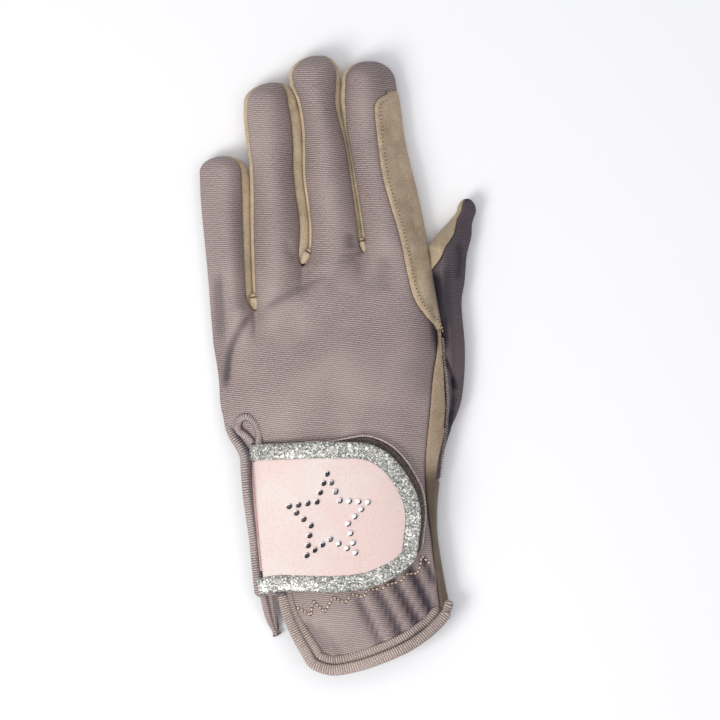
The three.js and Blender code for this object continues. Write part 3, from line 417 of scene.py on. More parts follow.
PANELS = ["back_panel", "index_patch", "side_strip", "thumb_inner", "thumb_back", "palm_panel",
          "fourchette_little_ring", "fourchette_ring_middle", "fourchette_middle_index"]
skin_points, skin_faces, skin_panels = [], [], []


def add_sheet(points, y, hem, rule):
    """A grid of points becomes four-sided faces. For each row of faces the rule names its panel, or none,
    from the y of its lower and upper edge and whether it lies below the wrist."""
    quads = sum(len(p) for p in skin_points) + grid_faces(*points.shape[:2])
    skin_points.append(points.reshape(-1, 3))
    found = [rule(*row) for row in zip(y[:-1, 0], y[1:, 0], hem[:-1, 0] > 0)]
    labels = [[-1 if name is None else PANELS.index(name)] for name in found]
    labels = np.repeat(labels, quads.shape[1], 1)
    keep = labels >= 0
    skin_faces.append(quads[keep])
    skin_panels.append(labels[keep])


def all_in(panel):
    return lambda low, high, hemmed: panel


def thumb_in(panel):
    return lambda low, high, hemmed: panel if low >= THUMB_BASE - HAIR and not hemmed else None


def patch_or_strip(low, high, hemmed):
    return "index_patch" if high > PATCH_FOOT and not hemmed else "side_strip"


def thumb_or_strip(low, high, hemmed):
    return "thumb_back" if low >= THUMB_FOOT and not hemmed else "side_strip"


# The strips of the back: how many cells across, and the panels that their rows belong to
BACK_STRIPS = {
    "little": (21, all_in("back_panel")),
    "ring": (26, all_in("back_panel")),
    "middle": (26, all_in("back_panel")),
    "index": (18, all_in("back_panel")),
    "patch": (14, patch_or_strip),
    "leaf": (10, thumb_in("thumb_inner")),
    "thumb": (15, thumb_in("thumb_back")),
}
for strip, (cells, rule) in BACK_STRIPS.items():
    y, hem = rows_of(STRIP_FINGER.get(strip, strip))
    add_sheet(back_point(strip, y, hem, np.linspace(0, 1, cells + 1)[None, :]), y, hem, rule)
# The palm's cells are closer together where it turns up
turn_cells, level_cells = np.linspace(0, UPTURN_SHARE, 5), np.linspace(UPTURN_SHARE, 1 - UPTURN_SHARE, 11)
palm_share = np.concatenate([turn_cells, level_cells[1:], 1 - turn_cells[-2::-1]])[None, ::-1]
for name in NAMES:
    y, hem = rows_of(name)
    rule = thumb_in("thumb_inner") if name == "thumb" else all_in("palm_panel")
    add_sheet(palm_point(name, y, hem, palm_share), y, hem, rule)


def add_wall(name, side, rule, cells=8):
    """A side wall between the back and the palm of one finger, down to the hem where it is the glove's
    side."""
    y, hem = rows_of(name)
    strip = {("thumb", 0): "leaf", ("index", 1): "patch"}.get((name, side), name)
    edge = np.full((1, 1), float(side))
    upper, lower = back_point(strip, y, hem, edge), palm_point(name, y, hem, edge)
    if name == "thumb" and side:
        low = y <= THUMB_BASE
        upper = np.where(low[..., None], back_point("patch", y, hem, edge), upper)
        lower = np.where(low[..., None], palm_point("index", y, hem, edge), lower)
    if name == "little" and side == 0:
        out = np.where(hem > 0, (upper[..., 0] + lower[..., 0]) / 2, left_outline(y))
    elif name == "thumb" and side:
        out = np.where(hem > 0, hand_line(RIGHT, upper[..., 1]), right_outline(y))
    else:
        out = outline(name, side, y)
    k = slit_at(name, side)
    if 0 <= k < 3:
        near, far = outline(NAMES[k], 1, y), outline(NAMES[k + 1], 0, y)
        touch = (near + far) / 2 + (0.02 if side == 0 else -0.02)
        out = mix(out, touch, ease((SLIT_CLOSED[k] - far + near) / 0.8) * (along(name, y) < 0.9))
    share = np.linspace(0, 1, cells + 1)[None, :]
    share = share if side else share[:, ::-1]
    grid = share + 0 * y
    wall = wall_point(upper + 0 * grid[..., None], lower + 0 * grid[..., None], out + 0 * grid, grid)
    add_sheet(wall, y, hem, rule)


def left_of_slit(k, gusset):
    """The rule for the wall left of a slit: its gusset, or the patch with the lycra over the fingertip."""
    return lambda low, high, hemmed: None if low < SLITS[k][1] - HAIR or hemmed else gusset or (
        "back_panel" if along("index", low) >= PATCH_TOP else "index_patch")


def right_of_slit(k, gusset):
    """The rule for the wall right of a slit: its gusset, or the inner side of the thumb."""
    return lambda low, high, hemmed: None if low < SLITS[k][1] - HAIR or hemmed else gusset or "thumb_inner"


add_wall("little", 0, all_in("back_panel"))
add_wall("thumb", 1, thumb_or_strip)
for k, gusset in enumerate([*PANELS[6:], None]):
    add_wall(NAMES[k], 1, left_of_slit(k, gusset))
    add_wall(NAMES[k + 1], 0, right_of_slit(k, gusset))


def get(collection, name, width, kind=np.float32):
    """One property of a mesh's vertices, edges, loops or faces as an array."""
    out = np.zeros(len(collection) * width, kind)
    collection.foreach_get(name, out)
    return out.reshape(-1, width) if width > 1 else out


def move_points(mesh, points):
    mesh.vertices.foreach_set("co", points.astype(np.float32).ravel())
    mesh.update()


def add_values(mesh, name, values):
    """A number or a place for every point of a mesh, under a name that its material reads."""
    kind, field = ("FLOAT", "value") if values.size == len(mesh.vertices) else ("FLOAT_VECTOR", "vector")
    mesh.attributes.new(name, kind, "POINT").data.foreach_set(field, values.astype(np.float32).ravel())


# The sheets are joined along their shared edges, then evened out: every place moves half way towards the
# middle of its neighbours and a little more than that back again, which smooths kinks and shrinks nothing.
shell = bpy.data.meshes.new("shell")
raw = np.concatenate(skin_points)
shell.from_pydata(raw.tolist(), [], np.concatenate(skin_faces).tolist())
shell.attributes.new("panel", "INT", "FACE").data.foreach_set("value", np.concatenate(skin_panels))
# The ribs run across the hand, and a little aslant over the fingers
cloth = np.column_stack([raw[:, 0], raw[:, 1] - 0.07 * raw[:, 0] * ease(raw[:, 1] / 60), 0 * raw[:, 0]])
add_values(shell, "cloth", cloth)
work = bmesh.new()
work.from_mesh(shell)
bmesh.ops.remove_doubles(work, verts=work.verts, dist=0.004)
bmesh.ops.dissolve_degenerate(work, edges=work.edges, dist=0.002)
bmesh.ops.delete(work, geom=[v for v in work.verts if not v.link_faces], context="VERTS")
work.to_mesh(shell)
work.free()

places = get(shell.vertices, "co", 3).astype(float)
edges = get(shell.edges, "vertices", 2, np.int32)
uses = np.bincount(get(shell.loops, "edge_index", 1, np.int32), minlength=len(edges))
rim = np.zeros(len(places), bool)
rim[edges[uses == 1].ravel()] = True
degree = np.bincount(edges.ravel(), minlength=len(places))


def neighbours(values):
    """The mean of each vertex's neighbours."""
    total = np.zeros_like(values)
    for k in range(values.shape[1]):
        total[:, k] = (np.bincount(edges[:, 0], values[edges[:, 1], k], len(values))
                       + np.bincount(edges[:, 1], values[edges[:, 0], k], len(values)))
    return total / degree[:, None]


for step in range(22):
    share = 0.5 if step % 2 == 0 else -0.51
    places = np.where(rim[:, None], places, mix(places, neighbours(places), share))
places[:, 2] = np.maximum(places[:, 2], 0.03)

# Folds of the back: half width, height (below zero a valley), and the line that the fold runs along
FOLDS = [
    (1.6, -1.5, [(5.6, -84.5), (10.2, -93.4), (16.4, -106.1)]),
    (1.8, -2.0, [(11.0, -81.0), (16.8, -90.3), (23.6, -103.7)]),
    (1.8, -2.0, [(16.8, -77.4), (22.3, -86.9), (29.5, -99.2)]),
    (1.7, -1.9, [(23.3, -74.2), (28.0, -83.4), (33.5, -95.0)]),
    (1.2, -1.4, [(28.6, -72.0), (31.3, -77.5), (34.0, -83.3)]),
    (1.4, -0.9, [(-11.6, -94.1), (-7.8, -99.0), (-2.3, -107.0)]),
    (1.4, -0.7, [(-7.4, -95.5), (-2.9, -101.0), (2.9, -108.5)]),
    (1.6, 0.8, [(9.0, -84.2), (13.7, -92.4), (19.0, -103.0)]),
    (1.6, 0.8, [(15.0, -81.0), (19.9, -88.9), (26.0, -100.0)]),
    (1.6, 0.8, [(21.2, -77.4), (25.4, -85.5), (31.0, -95.7)]),
    (2.2, -1.7, [(33.0, 27.3), (34.1, 19.0), (35.1, 11.4), (36.2, 3.5), (36.8, -3.0)]),
    (1.5, -1.35, [(-27.9, 12.4), (-30.3, 9.5), (-33.4, 5.2), (-36.0, 0.7), (-37.5, -4.5), (-38.4, -11.4),
                  (-39.1, -17.7)]),
    (2.6, 0.5, [(-26.1, 10.0), (-30.3, 4.5), (-33.0, -2.4), (-34.4, -10.7)]),
    (1.3, -0.6, [(-27.2, 11.9), (-20.2, 15.5), (-11.0, 20.6), (-2.0, 25.5)]),
    (7.0, -0.65, [(31.5, 26.0), (32.5, 10.0), (32.0, -6.0), (30.0, -22.0)]),
    (3.2, -0.6, [(-42.0, 30.0), (-41.2, 12.0), (-40.4, -4.0), (-39.5, -18.0)]),
    (3.2, -0.4, [(16.0, 26.0), (6.0, 15.0), (-7.0, 3.5), (-18.0, -5.0)]),
    (3.6, 0.5, [(20.0, 18.0), (8.0, 5.0), (-6.0, -7.0), (-22.0, -18.0)]),
    (3.4, 0.7, [(11.9, 32.2), (6.4, 25.3), (0.2, 17.6), (-5.4, 11.4)]),
    (2.6, -0.55, [(9.5, 30.4), (4.3, 27.2), (0.2, 23.2), (-4.0, 19.0)]),
    (0.7, -0.7, [(0.9, 30.8), (4.7, 31.0), (8.1, 31.7), (10.6, 33.2)]),
    (0.7, -0.5, [(-0.5, 28.7), (4.0, 29.1), (7.8, 29.9)]),
    (1.7, -0.8, [(4.7, 39.1), (4.5, 36.0), (5.2, 32.9)]),
    (3.2, -0.5, [(16.1, 32.2), (16.1, 25.3), (16.8, 16.9)]),
    (3.6, -0.45, [(-11.9, 24.2), (-17.5, 17.6), (-24.7, 11.4), (-30.3, 2.4)]),
    (1.6, -0.5, [(-18.2, 37.0), (-16.4, 32.2), (-13.7, 28.7)]),
    (2.0, -0.5, [(-42.0, 25.3), (-41.7, 18.3), (-41.0, 9.3), (-40.0, 0.0)]),
    (1.5, 0.45, [(-23.4, -29.4), (-6.1, -28.4), (11.9, -27.3)]),
    (1.4, -0.45, [(-24.0, -31.5), (-6.1, -30.8), (4.3, -29.8)]),
    (1.1, 0.9, [(36.7, -5.2), (38.1, -10.0), (38.8, -15.6), (38.2, -21.1), (37.7, -25.3)]),
    (0.9, -1.3, [(38.9, -10.0), (40.0, -14.9), (40.0, -19.0), (39.1, -24.6), (38.1, -30.1)]),
    (0.9, -1.2, [(35.8, -2.4), (37.9, -6.6), (39.8, -11.4), (42.0, -17.0)]),
    (1.2, -0.9, [(41.7, -14.9), (40.7, -21.1), (38.6, -28.7), (37.2, -35.6)]),
    (1.3, 0.5, [(40.7, -13.8), (41.3, -18.3), (40.0, -23.9)]),
    (1.5, -0.7, [(38.6, 28.7), (37.5, 20.8), (37.5, 12.1), (38.2, 5.2)]),
    (1.2, -0.7, [(41.7, 36.3), (42.4, 30.1), (41.3, 21.8)]),
    (1.0, -0.9, [(32.0, 15.6), (34.1, 5.2), (35.5, -3.8)]),
    (0.95, -0.75, [(-27.3, -33.6), (-27.2, -30.5), (-28.4, -26.8), (-31.0, -24.7), (-33.7, -25.4),
                   (-34.8, -27.9), (-34.1, -30.1), (-32.0, -31.7), (-30.2, -33.2)])]


def fold_height(x, y):
    """Each fold is a bell across its line: height times e to the minus of the distance squared. It fades out
    over the last fifth at either end."""
    height = np.zeros_like(x)
    for wide, high, points in FOLDS:
        line = course(points, 40)
        near = np.hypot(x - line[20, 0], y - line[20, 1]) < 4 * wide + np.abs(line - line[20]).sum(1).max()
        gap = np.hypot(x[near, None] - line[None, :, 0], y[near, None] - line[None, :, 1])
        at = gap.argmin(1) / 39
        off = gap.min(1)
        height[near] += high * np.exp(-((off / wide) ** 2)) * ease(at / 0.2) * ease((1 - at) / 0.2)
    return height


def ripples(x, y):
    """Slow unevenness of stretched cloth: four crossed sine waves of different length."""
    return 0.1 * (np.sin(x / 5.3 + y / 9.1) + np.sin(y / 6.7 - x / 11.3 + 1.9)
                  + 0.7 * np.sin(x / 3.1 - y / 4.3 + 0.6) + 0.6 * np.sin(y / 2.9 + x / 7.7 + 4.0))


move_points(shell, places)
facing = get(shell.vertex_normals, "vector", 3)
upper = ease((places[:, 2] - 3.0) / 4.0) * ease(facing[:, 2] * 2 + 0.2)
folded = fold_height(places[:, 0], places[:, 1])
places[:, 2] += upper * (folded + ripples(places[:, 0], places[:, 1]) * ~rim)
move_points(shell, places)
facing = get(shell.vertex_normals, "vector", 3)
# Painted shade: how deep each place lies in a fold and how far it faces away from straight up, for the
# lycra's violet shade
add_values(shell, "valley", clamp(-folded * upper / 1.6))
add_values(shell, "steep", clamp(1 - facing[:, 2]))


def finish_piece(piece, material, slot, *nodes):
    """Puts a piece into the scene on the glove's one body, in place of its CAD nodes."""
    bpy.context.scene.collection.objects.link(piece)
    piece.data.materials.append(material)
    piece.data.shade_smooth()
    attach(piece, "root")
    if nodes:
        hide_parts(*nodes)
    return piece


def thicken(piece, wall):
    """Gives a sheet the thickness of its cloth, inwards."""
    solid = piece.modifiers.new("thickness", "SOLIDIFY")
    solid.thickness = wall / 1000
    solid.offset = -1


def cut_panel(name, title, material, slot, wall, sink=0.45, lift=0.0, drawn=0.12):
    """One panel of the shell. Its edge is drawn back and sunk into the seam, and it gets the cloth's
    thickness."""
    mesh = shell.copy()
    mesh.name = title
    work = bmesh.new()
    work.from_mesh(mesh)
    layer = work.faces.layers.int["panel"]
    bmesh.ops.delete(work, geom=[f for f in work.faces if f[layer] != PANELS.index(name)], context="FACES")
    work.to_mesh(mesh)
    work.free()
    co = get(mesh.vertices, "co", 3).astype(float)
    normal = get(mesh.vertex_normals, "vector", 3)
    edge = get(mesh.edges, "vertices", 2, np.int32)
    of_loop = get(mesh.loops, "edge_index", 1, np.int32)
    sides = get(mesh.polygons, "loop_total", 1, np.int32)
    face = np.repeat(np.arange(len(sides)), sides)
    centre = get(mesh.polygons, "center", 3)
    open_loop = np.bincount(of_loop, minlength=len(edge))[of_loop] == 1
    rims, middle = edge[of_loop[open_loop]], centre[face[open_loop]]
    line = co[rims[:, 1]] - co[rims[:, 0]]
    line /= np.linalg.norm(line, axis=1)[:, None] + 1e-9
    inward = middle - co[rims[:, 0]]
    inward -= (inward * line).sum(1)[:, None] * line
    inward /= np.linalg.norm(inward, axis=1)[:, None] + 1e-9
    pull = np.zeros_like(co)
    for k in (0, 1):
        np.add.at(pull, rims[:, k], inward)
    size = np.linalg.norm(pull, axis=1)
    at_rim = size > 0
    second = np.zeros(len(co), bool)
    second[edge[at_rim[edge[:, ::-1]]]] = True
    second &= ~at_rim
    co[at_rim] += drawn * pull[at_rim] / size[at_rim][:, None]
    co += normal * (lift - sink * at_rim - 0.35 * sink * second)[:, None]
    co[:, 2] = np.maximum(co[:, 2], 0.03)
    move_points(mesh, (co + SHIFT) / 1000)
    piece = finish_piece(bpy.data.objects.new(title, mesh), material, slot, name)
    thicken(piece, wall)
    return piece


# ## Back of the hand and outer side of the thumb
# Ribbed stretch cloth in a warm grey, with a violet painted shade in its folds and on its steep sides, cut so
# that its fine ribs run across the hand and sewn to the suede along every finger.
RIB = 0.72


def tone(red, green, blue):
    """A colour read off a screen from 0 to 255, as the linear light that a material needs."""
    value = np.array([red, green, blue], float) / 255
    linear = np.where(value <= 0.04045, value / 12.92, ((value + 0.055) / 1.055) ** 2.4)
    return (*linear.tolist(), 1.0)


class Wire:
    """A socket in a material: + - and * on it add Math nodes, and add() makes any other node."""

    def __init__(self, tree, socket):
        self.tree = tree
        self.socket = socket

    def add(self, kind, settings=None, sockets=None, output=0):
        """A node of this kind: its settings first, then the values or wires of its sockets."""
        made = self.tree.nodes.new("ShaderNode" + kind)
        for key, value in (settings or {}).items():
            if key == "stops":
                ramp = made.color_ramp
                while len(ramp.elements) < len(value):
                    ramp.elements.new(0.5)
                for stop, (at, colour) in zip(ramp.elements, value):
                    stop.position = at
                    stop.color = colour
            else:
                setattr(made, key, value)
        for key, value in (sockets or {}).items():
            if isinstance(value, Wire):
                self.tree.links.new(value.socket, made.inputs[key])
            else:
                made.inputs[key].default_value = value
        return Wire(self.tree, made.outputs[output])

    def _math(self, operation, a, b=None):
        sockets = {0: a} if b is None else {0: a, 1: b}
        return self.add("Math", {"operation": operation}, sockets)

    def __add__(self, other):
        return self._math("ADD", self, other)

    def __sub__(self, other):
        return self._math("SUBTRACT", self, other)

    def __rsub__(self, other):
        return self._math("SUBTRACT", other, self)

    def __mul__(self, other):
        return self._math("MULTIPLY", self, other)

    __radd__ = __add__

    def sine(self):
        return self._math("SINE", self)

    def noise(self, scale, detail):
        return self.add("TexNoise", None, {"Vector": self, "Scale": scale, "Detail": detail})

    def bump(self, strength, distance):
        """A relief for the shader's normal, from this as the height."""
        return self.add("Bump", None, {"Height": self, "Strength": strength, "Distance": distance})

    def parts(self, kind="XYZ", name="Vector"):
        """The three numbers of a place or of a colour, a wire each."""
        node = self.add("Separate" + kind, None, {name: self}).socket.node
        return [Wire(self.tree, output) for output in node.outputs]

    def within(self, low, high):
        """Rises from 0 to 1 between low and high."""
        return self.add("MapRange", {"interpolation_type": "SMOOTHSTEP"},
                        {"Value": self, "From Min": low, "From Max": high})

    def blend(self, a, b):
        """Colour a where this is 0 and colour b where it is 1."""
        return self.add("Mix", {"data_type": "RGBA"}, {0: self, 6: a, 7: b}, 2)


def new_finish(name, **shine):
    """A new material, a wire with the place on the piece in metres, and the shader, its fixed sockets set."""
    material = bpy.data.materials.new(name)
    material.use_nodes = True
    shader = material.node_tree.nodes["Principled BSDF"]
    for key, value in shine.items():
        shader.inputs[key.replace("_", " ")].default_value = value
    place = material.node_tree.nodes.new("ShaderNodeTexCoord").outputs["Object"]
    return material, Wire(material.node_tree, place), shader


def join(shader, **sockets):
    """Links wires to the shader's sockets by name."""
    for key, value in sockets.items():
        value.tree.links.new(value.socket, shader.inputs[key.replace("_", " ")])


def lycra_finish(name, light, dark, shade, rib=RIB):
    """Ribs are a sine wave along the cloth's second coordinate, broken into short dashes by stretched noise;
    their light crests and dark furrows are painted highlight and shade. A painted shade lies in the folds, on
    steep sides and towards the index finger, and a painted shadow lies by the cuff beside the thumb."""
    material, place, shader = new_finish(
        name, Sheen_Weight=0.12, Sheen_Roughness=0.35, Sheen_Tint=tone(150, 140, 190), Specular_IOR_Level=0.3)
    cloth = place.add("Attribute", {"attribute_name": "cloth"}, output="Vector")
    u, v = cloth.parts()[:2]
    aslant = v + u * 0.1
    ribs = ((aslant + cloth.noise(0.12, 1.0) * 1.2) * (2 * math.pi / rib)).sine() * 0.5 + 0.5
    cells = place.add("CombineXYZ", None, {"X": u * 2.8, "Y": aslant * (1 / rib), "Z": 0.0})
    dashes = cells.noise(1.0, 2.0)
    ticks = ((u + v * 0.6) * 7.2).sine() * 0.5 + 0.5
    fine = ribs * (ticks * 0.4 + 0.6) * dashes.within(0.1, 0.65) * 1.2
    # The ribs' light crests and dark furrows are painted highlight and shade
    colour = (cloth.noise(0.035, 2.0).within(0.35, 0.75) * 0.35).blend(fine.blend(dark, light), light)
    valley = place.add("Attribute", {"attribute_name": "valley"}, output="Fac")
    steep = place.add("Attribute", {"attribute_name": "steep"}, output="Fac")
    across, down = place.parts()[:2]
    # Painted shade, darker towards the index finger, and a painted shadow by the cuff beside the thumb
    index_side_shade = (across * 12.0 + down * 4.0).within(0.0, 1.0) * 0.45
    corner = (across * 70.0 - 1.1).within(0.0, 1.0) * (down * -80.0 - 2.6).within(0.0, 1.0) * 0.22
    violet = valley * 0.7 + steep.within(0.25, 0.95) * 0.4 + index_side_shade + corner
    colour = violet.within(0.0, 1.0).blend(colour, shade)
    join(shader, Base_Color=colour, Normal=(ribs * 0.8 + dashes * 0.35).bump(0.5, 0.00012),
         Roughness=0.5 + fine * 0.2)
    return material


lycra = lycra_finish("ribbed_lycra", tone(198, 180, 172), tone(108, 92, 93), tone(60, 49, 60))
# The thumb's cloth is a darker copy of the same lycra: painted shade, as the thumb lies turned from the light
shaded_thumb_lycra = lycra_finish("shaded_thumb_lycra", tone(126, 110, 111), tone(62, 51, 56), tone(38, 31, 42))
back = cut_panel("back_panel", "back_cloth", lycra, "lycra", 1.0)
thumb_back = cut_panel("thumb_back", "thumb_cloth", shaded_thumb_lycra, "lycra", 1.0)

# ## Palm, finger gussets and inner side of the thumb
# Beige suede with a short nap: the palm in one piece, and between each two fingers a long narrow gusset
# that runs up one finger, over the end of the slit and down the next.


def suede_finish(name, light, dark, strap_shadow_below=None):
    """Mottled nap: broad and fine noise over each other, and a felted bump. Where a y in metres is given, a
    painted shadow darkens the suede below it, over the next 8 mm."""
    material, place, shader = new_finish(name, Sheen_Weight=0.25, Sheen_Roughness=0.5, Specular_IOR_Level=0.2)
    fine = place.noise(2200.0, 3.0)
    broad = place.noise(140.0, 3.0)
    colour = (fine.within(0.3, 0.75) * 0.6 + broad.within(0.3, 0.7) * 0.4).blend(dark, light)
    if strap_shadow_below is not None:
        # Painted shadow below the given height
        below = (strap_shadow_below - place.parts()[1]) * 125.0
        colour = (below.within(0.0, 1.0) * 0.85).blend(colour, tone(92, 78, 66))
    felt = (fine * 0.6 + broad).bump(0.5, 0.0001)
    join(shader, Base_Color=colour, Normal=felt, Roughness=0.85 + fine * 0.1)
    return material


suede = suede_finish("beige_suede", tone(196, 177, 148), tone(142, 123, 98))
palm = cut_panel("palm_panel", "palm_suede", suede, "beige_suede", 1.2)
# The gussets and the tucks' pads get a lighter copy of the suede: painted light on walls that face away from
# the lamp
lit_gusset_suede = suede_finish("lit_gusset_suede", tone(222, 202, 172), tone(166, 146, 118))
for name, length, area in zip(PANELS[6:], (0.126, 0.134, 0.128), (0.000895, 0.000951, 0.000872)):
    gusset = cut_panel(name, name.replace("fourchette", "gusset"), lit_gusset_suede, "beige_suede", 1.1, sink=0.5)
thumb_inner = cut_panel("thumb_inner", "thumb_suede", suede, "beige_suede", 1.1)

# ## Reinforcement on the index finger and strip down the side
# A suede patch laid over the thumb side of the index finger and stitched down just inside its edge,
# and below it a narrow strip of the same suede to the cuff, joined to the thumb's cloth by a twisted seam.
patch_suede = suede_finish("patch_suede", tone(208, 187, 158), tone(152, 132, 107))
patch = cut_panel(
    "index_patch", "index_suede", patch_suede, "beige_suede", 1.2, sink=0.3, lift=0.4, drawn=-0.3)
# The strip gets a slightly darker copy of the suede as painted shade, and a painted shadow of the strap below
# the strap's top
shaded_strip_suede = suede_finish("shaded_strip_suede", tone(186, 165, 139), tone(138, 118, 95), -0.0328)
strip = cut_panel("side_strip", "side_suede", shaded_strip_suede, "beige_suede", 1.2)


def surface_at(xy, panels):
    """Height of the shell's upper side at places in the plan, from its four nearest points there."""
    labels = get(shell.attributes["panel"].data, "value", 1, np.int32)
    starts = get(shell.polygons, "loop_start", 1, np.int32)
    corner = get(shell.loops, "vertex_index", 1, np.int32)[starts]
    chosen = np.isin(labels, [PANELS.index(p) for p in panels])
    use = np.unique(corner[chosen])
    use = use[(places[use, 2] > 4) & (facing[use, 2] > 0.1)]
    gap = np.linalg.norm(places[use, None, :2] - np.asarray(xy)[None], axis=2)
    nearest = np.argsort(gap, axis=0)[:4]
    weight = 1 / (np.take_along_axis(gap, nearest, 0) + 0.05)
    return (places[use[nearest], 2] * weight).sum(0) / weight.sum(0)


def offset_line(line, distance):
    """A plan line moved sideways, to the left of its direction where the distance is above zero."""
    turn = unit(np.gradient(line, axis=0))
    return line + distance * np.column_stack([-turn[:, 1], turn[:, 0]])


def make_mesh(name, points, faces, **attributes):
    """An object in metres from a grid or list of millimetre points and its faces, with values for its
    points."""
    mesh = bpy.data.meshes.new(name)
    mesh.from_pydata(((points.reshape(-1, 3) + SHIFT) / 1000).tolist(), [], faces)
    for key, values in attributes.items():
        add_values(mesh, key, values)
    mesh.update()
    return bpy.data.objects.new(name, mesh)


def tube_faces(rows, columns, turned=True):
    """The faces of a closed tube made of rings, with a flat end on its first and its last ring."""
    index = np.arange(rows * columns).reshape(rows, columns)
    step = 1 if turned else -1
    ends = [index[0, ::step].tolist(), index[-1, ::-step].tolist()]
    return grid_faces(rows, columns, True, turned).reshape(-1, 4).tolist() + ends


def threads(name, starts, ends, radius, material, slot, arch=0.25):
    """A row of stitches. Each is a short spindle of six sides that arches up between its two needle holes."""
    t = np.linspace(0, 1, 6)[None, :, None, None]
    angle = np.linspace(0, 2 * np.pi, 7)[:-1][None, None, :, None]
    line = (ends - starts)[:, None, None, :]
    up = np.array([0, 0, 1.0])
    side = unit(np.cross(line, up))
    thick = radius * np.sqrt(np.sin(np.pi * (0.06 + 0.88 * t)))
    centre = starts[:, None, None, :] + t * line + up * arch * np.sin(np.pi * t)
    ring = centre + thick * (side * np.cos(angle) + up * np.sin(angle))
    index = np.arange(len(starts) * 36).reshape(-1, 6, 6)
    quads = grid_faces(6, 6, True, True) + index[:, :1, :1, None]
    caps = index[:, 0].tolist() + index[:, -1, ::-1].tolist()
    finish_piece(make_mesh(name, ring, quads.reshape(-1, 4).tolist() + caps), material, slot)


def stitched(name, starts, ends, radius, material, slot, panels, lift):
    """Stitches laid on the cloth between plan points, with a dark spindle at each start as painted shade in
    the needle's dent.
    """
    low, high = (np.column_stack([p, surface_at(p, panels) + lift]) for p in (starts, ends))
    threads(name, low, high, radius, material, slot)
    dent = (high - low) * 0.22
    low = low + [0, 0, 0.02]
    threads(name + "_dents", low - dent, low + dent * 0.6, radius * 1.15, hole_shade_finish, slot, 0.0)


def spaced(line, pitch, length):
    """Stitch starts and ends along a plan line: one every pitch, each as long as asked."""
    steps = lengths(line)
    at = np.arange(0.1, steps[-1] - length + 0.1, pitch)
    return sampled(line, steps, at), sampled(line, steps, at + length)


def thread_finish(name, light, dark):
    """Twisted thread: light and dark strands as a fine noise."""
    material, place, shader = new_finish(name, Roughness=0.6, Sheen_Weight=0.2)
    join(shader, Base_Color=place.noise(2500.0, 1.0).within(0.35, 0.65).blend(dark, light))
    return material


beige_thread = thread_finish("beige_thread", tone(205, 186, 160), tone(150, 132, 108))
# Painted shade: dark threads for the needle holes and for the tucks' creases
hole_shade_finish = thread_finish("needle_dents", tone(70, 50, 36), tone(44, 31, 24))
rows = np.linspace(PATCH_TOP * FINGERS["index"][2] - 1.6, PATCH_FOOT - 1.5, 220)
edge_line = np.column_stack([strip_edges("patch", rows)[0], rows])
a, b = spaced(offset_line(edge_line, 1.5), 1.3, 0.8)
stitched("patch_stitches", a, b + [0.2, 0.0], 0.26, beige_thread, "beige_suede",
         ["index_patch", "side_strip"], 0.6)
twisted_line = course([(36.5, 2.5), (37.0, -4.9), (37.7, -11.4), (38.2, -18.0), (38.1, -22.8), (37.7, -29.6),
                       (36.5, -37.7), (35.7, -46.0)], 300)
a, b = spaced(twisted_line, 0.9, 0.5)
pale_thread = thread_finish("pale_thread", tone(188, 172, 164), tone(112, 98, 98))
stitched("twisted_seam", a + [-0.45, 0.2], b + [0.45, -0.2], 0.2, pale_thread, "beige_suede",
         ["side_strip", "thumb_back"], 0.3)
zigzag = [(-14.2, -90.5), (-9.2, -93.2), (-8.6, -88.2), (-4.3, -92.0), (-1.6, -86.9), (2.8, -88.9),
          (4.7, -85.8), (9.2, -86.8), (10.2, -84.4), (15.3, -84.1), (16.8, -82.7), (21.6, -81.7),
          (23.4, -79.2), (27.5, -78.9), (28.5, -76.1), (28.9, -73.0), (32.4, -76.1)]
legs = [spaced(np.array(leg), 1.4, 0.95) for leg in zip(zigzag, zigzag[1:])]
rose_thread = thread_finish("rose_thread", tone(246, 226, 200), tone(196, 160, 136))
low, high = (np.concatenate(ends) for ends in zip(*legs))
stitched("zigzag_stitches", low, high + [0.2, 0.3], 0.33, rose_thread, "lycra", ["back_panel"], 0.35)

# ## Tucks at the ends of the slits
# Where two fingers part, the gusset is drawn through the end of the slit to a small folded pad of suede,
# with a dark line across it as painted shade in its crease.
around, up = np.meshgrid(np.linspace(0, 2 * np.pi, 33)[:-1], np.linspace(-0.5, 0.5, 15) * np.pi)
tucks = [("tuck_little", -28.7, 15.0, 1.9, 3.0, 0.1), ("tuck_ring", -10.9, 30.7, 1.5, 3.1, -0.55),
         ("tuck_middle", 8.8, 34.7, 1.2, 2.6, 0.25)]
for name, x, y, wide, long, turn in tucks:
    a, b = wide * np.cos(up) * np.cos(around), long * np.cos(up) * np.sin(around)
    plan = np.stack([x + a * np.cos(turn) - b * np.sin(turn), y + a * np.sin(turn) + b * np.cos(turn)], -1)
    level = surface_at(np.array([[x, y - 1.0]]), ["back_panel"])[0]
    dip = 0.35 * np.exp(-((b / long - 0.5) / 0.12) ** 2)
    pad = np.dstack([plan, level - 0.5 + 1.5 * np.sin(up) * (1 - dip)])
    finish_piece(make_mesh(name, pad, tube_faces(15, 32, False)), lit_gusset_suede, "beige_suede")
    side = np.array([np.cos(turn), np.sin(turn)]) * wide * 0.95
    middle = np.array([x, y]) + np.array([-np.sin(turn), np.cos(turn)]) * long * 0.5
    crease = np.column_stack([np.stack([middle - side, middle + side]), [level + 0.35, level + 0.35]])
    threads(name + "_crease", crease[:1], crease[1:], 0.24, hole_shade_finish, "beige_suede")

# ## Strap over the wrist
# A pale pink nubuck tongue that closes over the wrist slit, its edge bound with a band of silver glitter,
# and under it a dark hook-and-loop underlay with a fine light rim that shows beyond the upper right edge.
STRAP_LEFT, STRAP_TOP, STRAP_LENGTH, STRAP_HEIGHT = -29.8, -33.2, 60.5, 52.5
STRAP_BORDER = 5.7
FACE_LAYER = 3.75
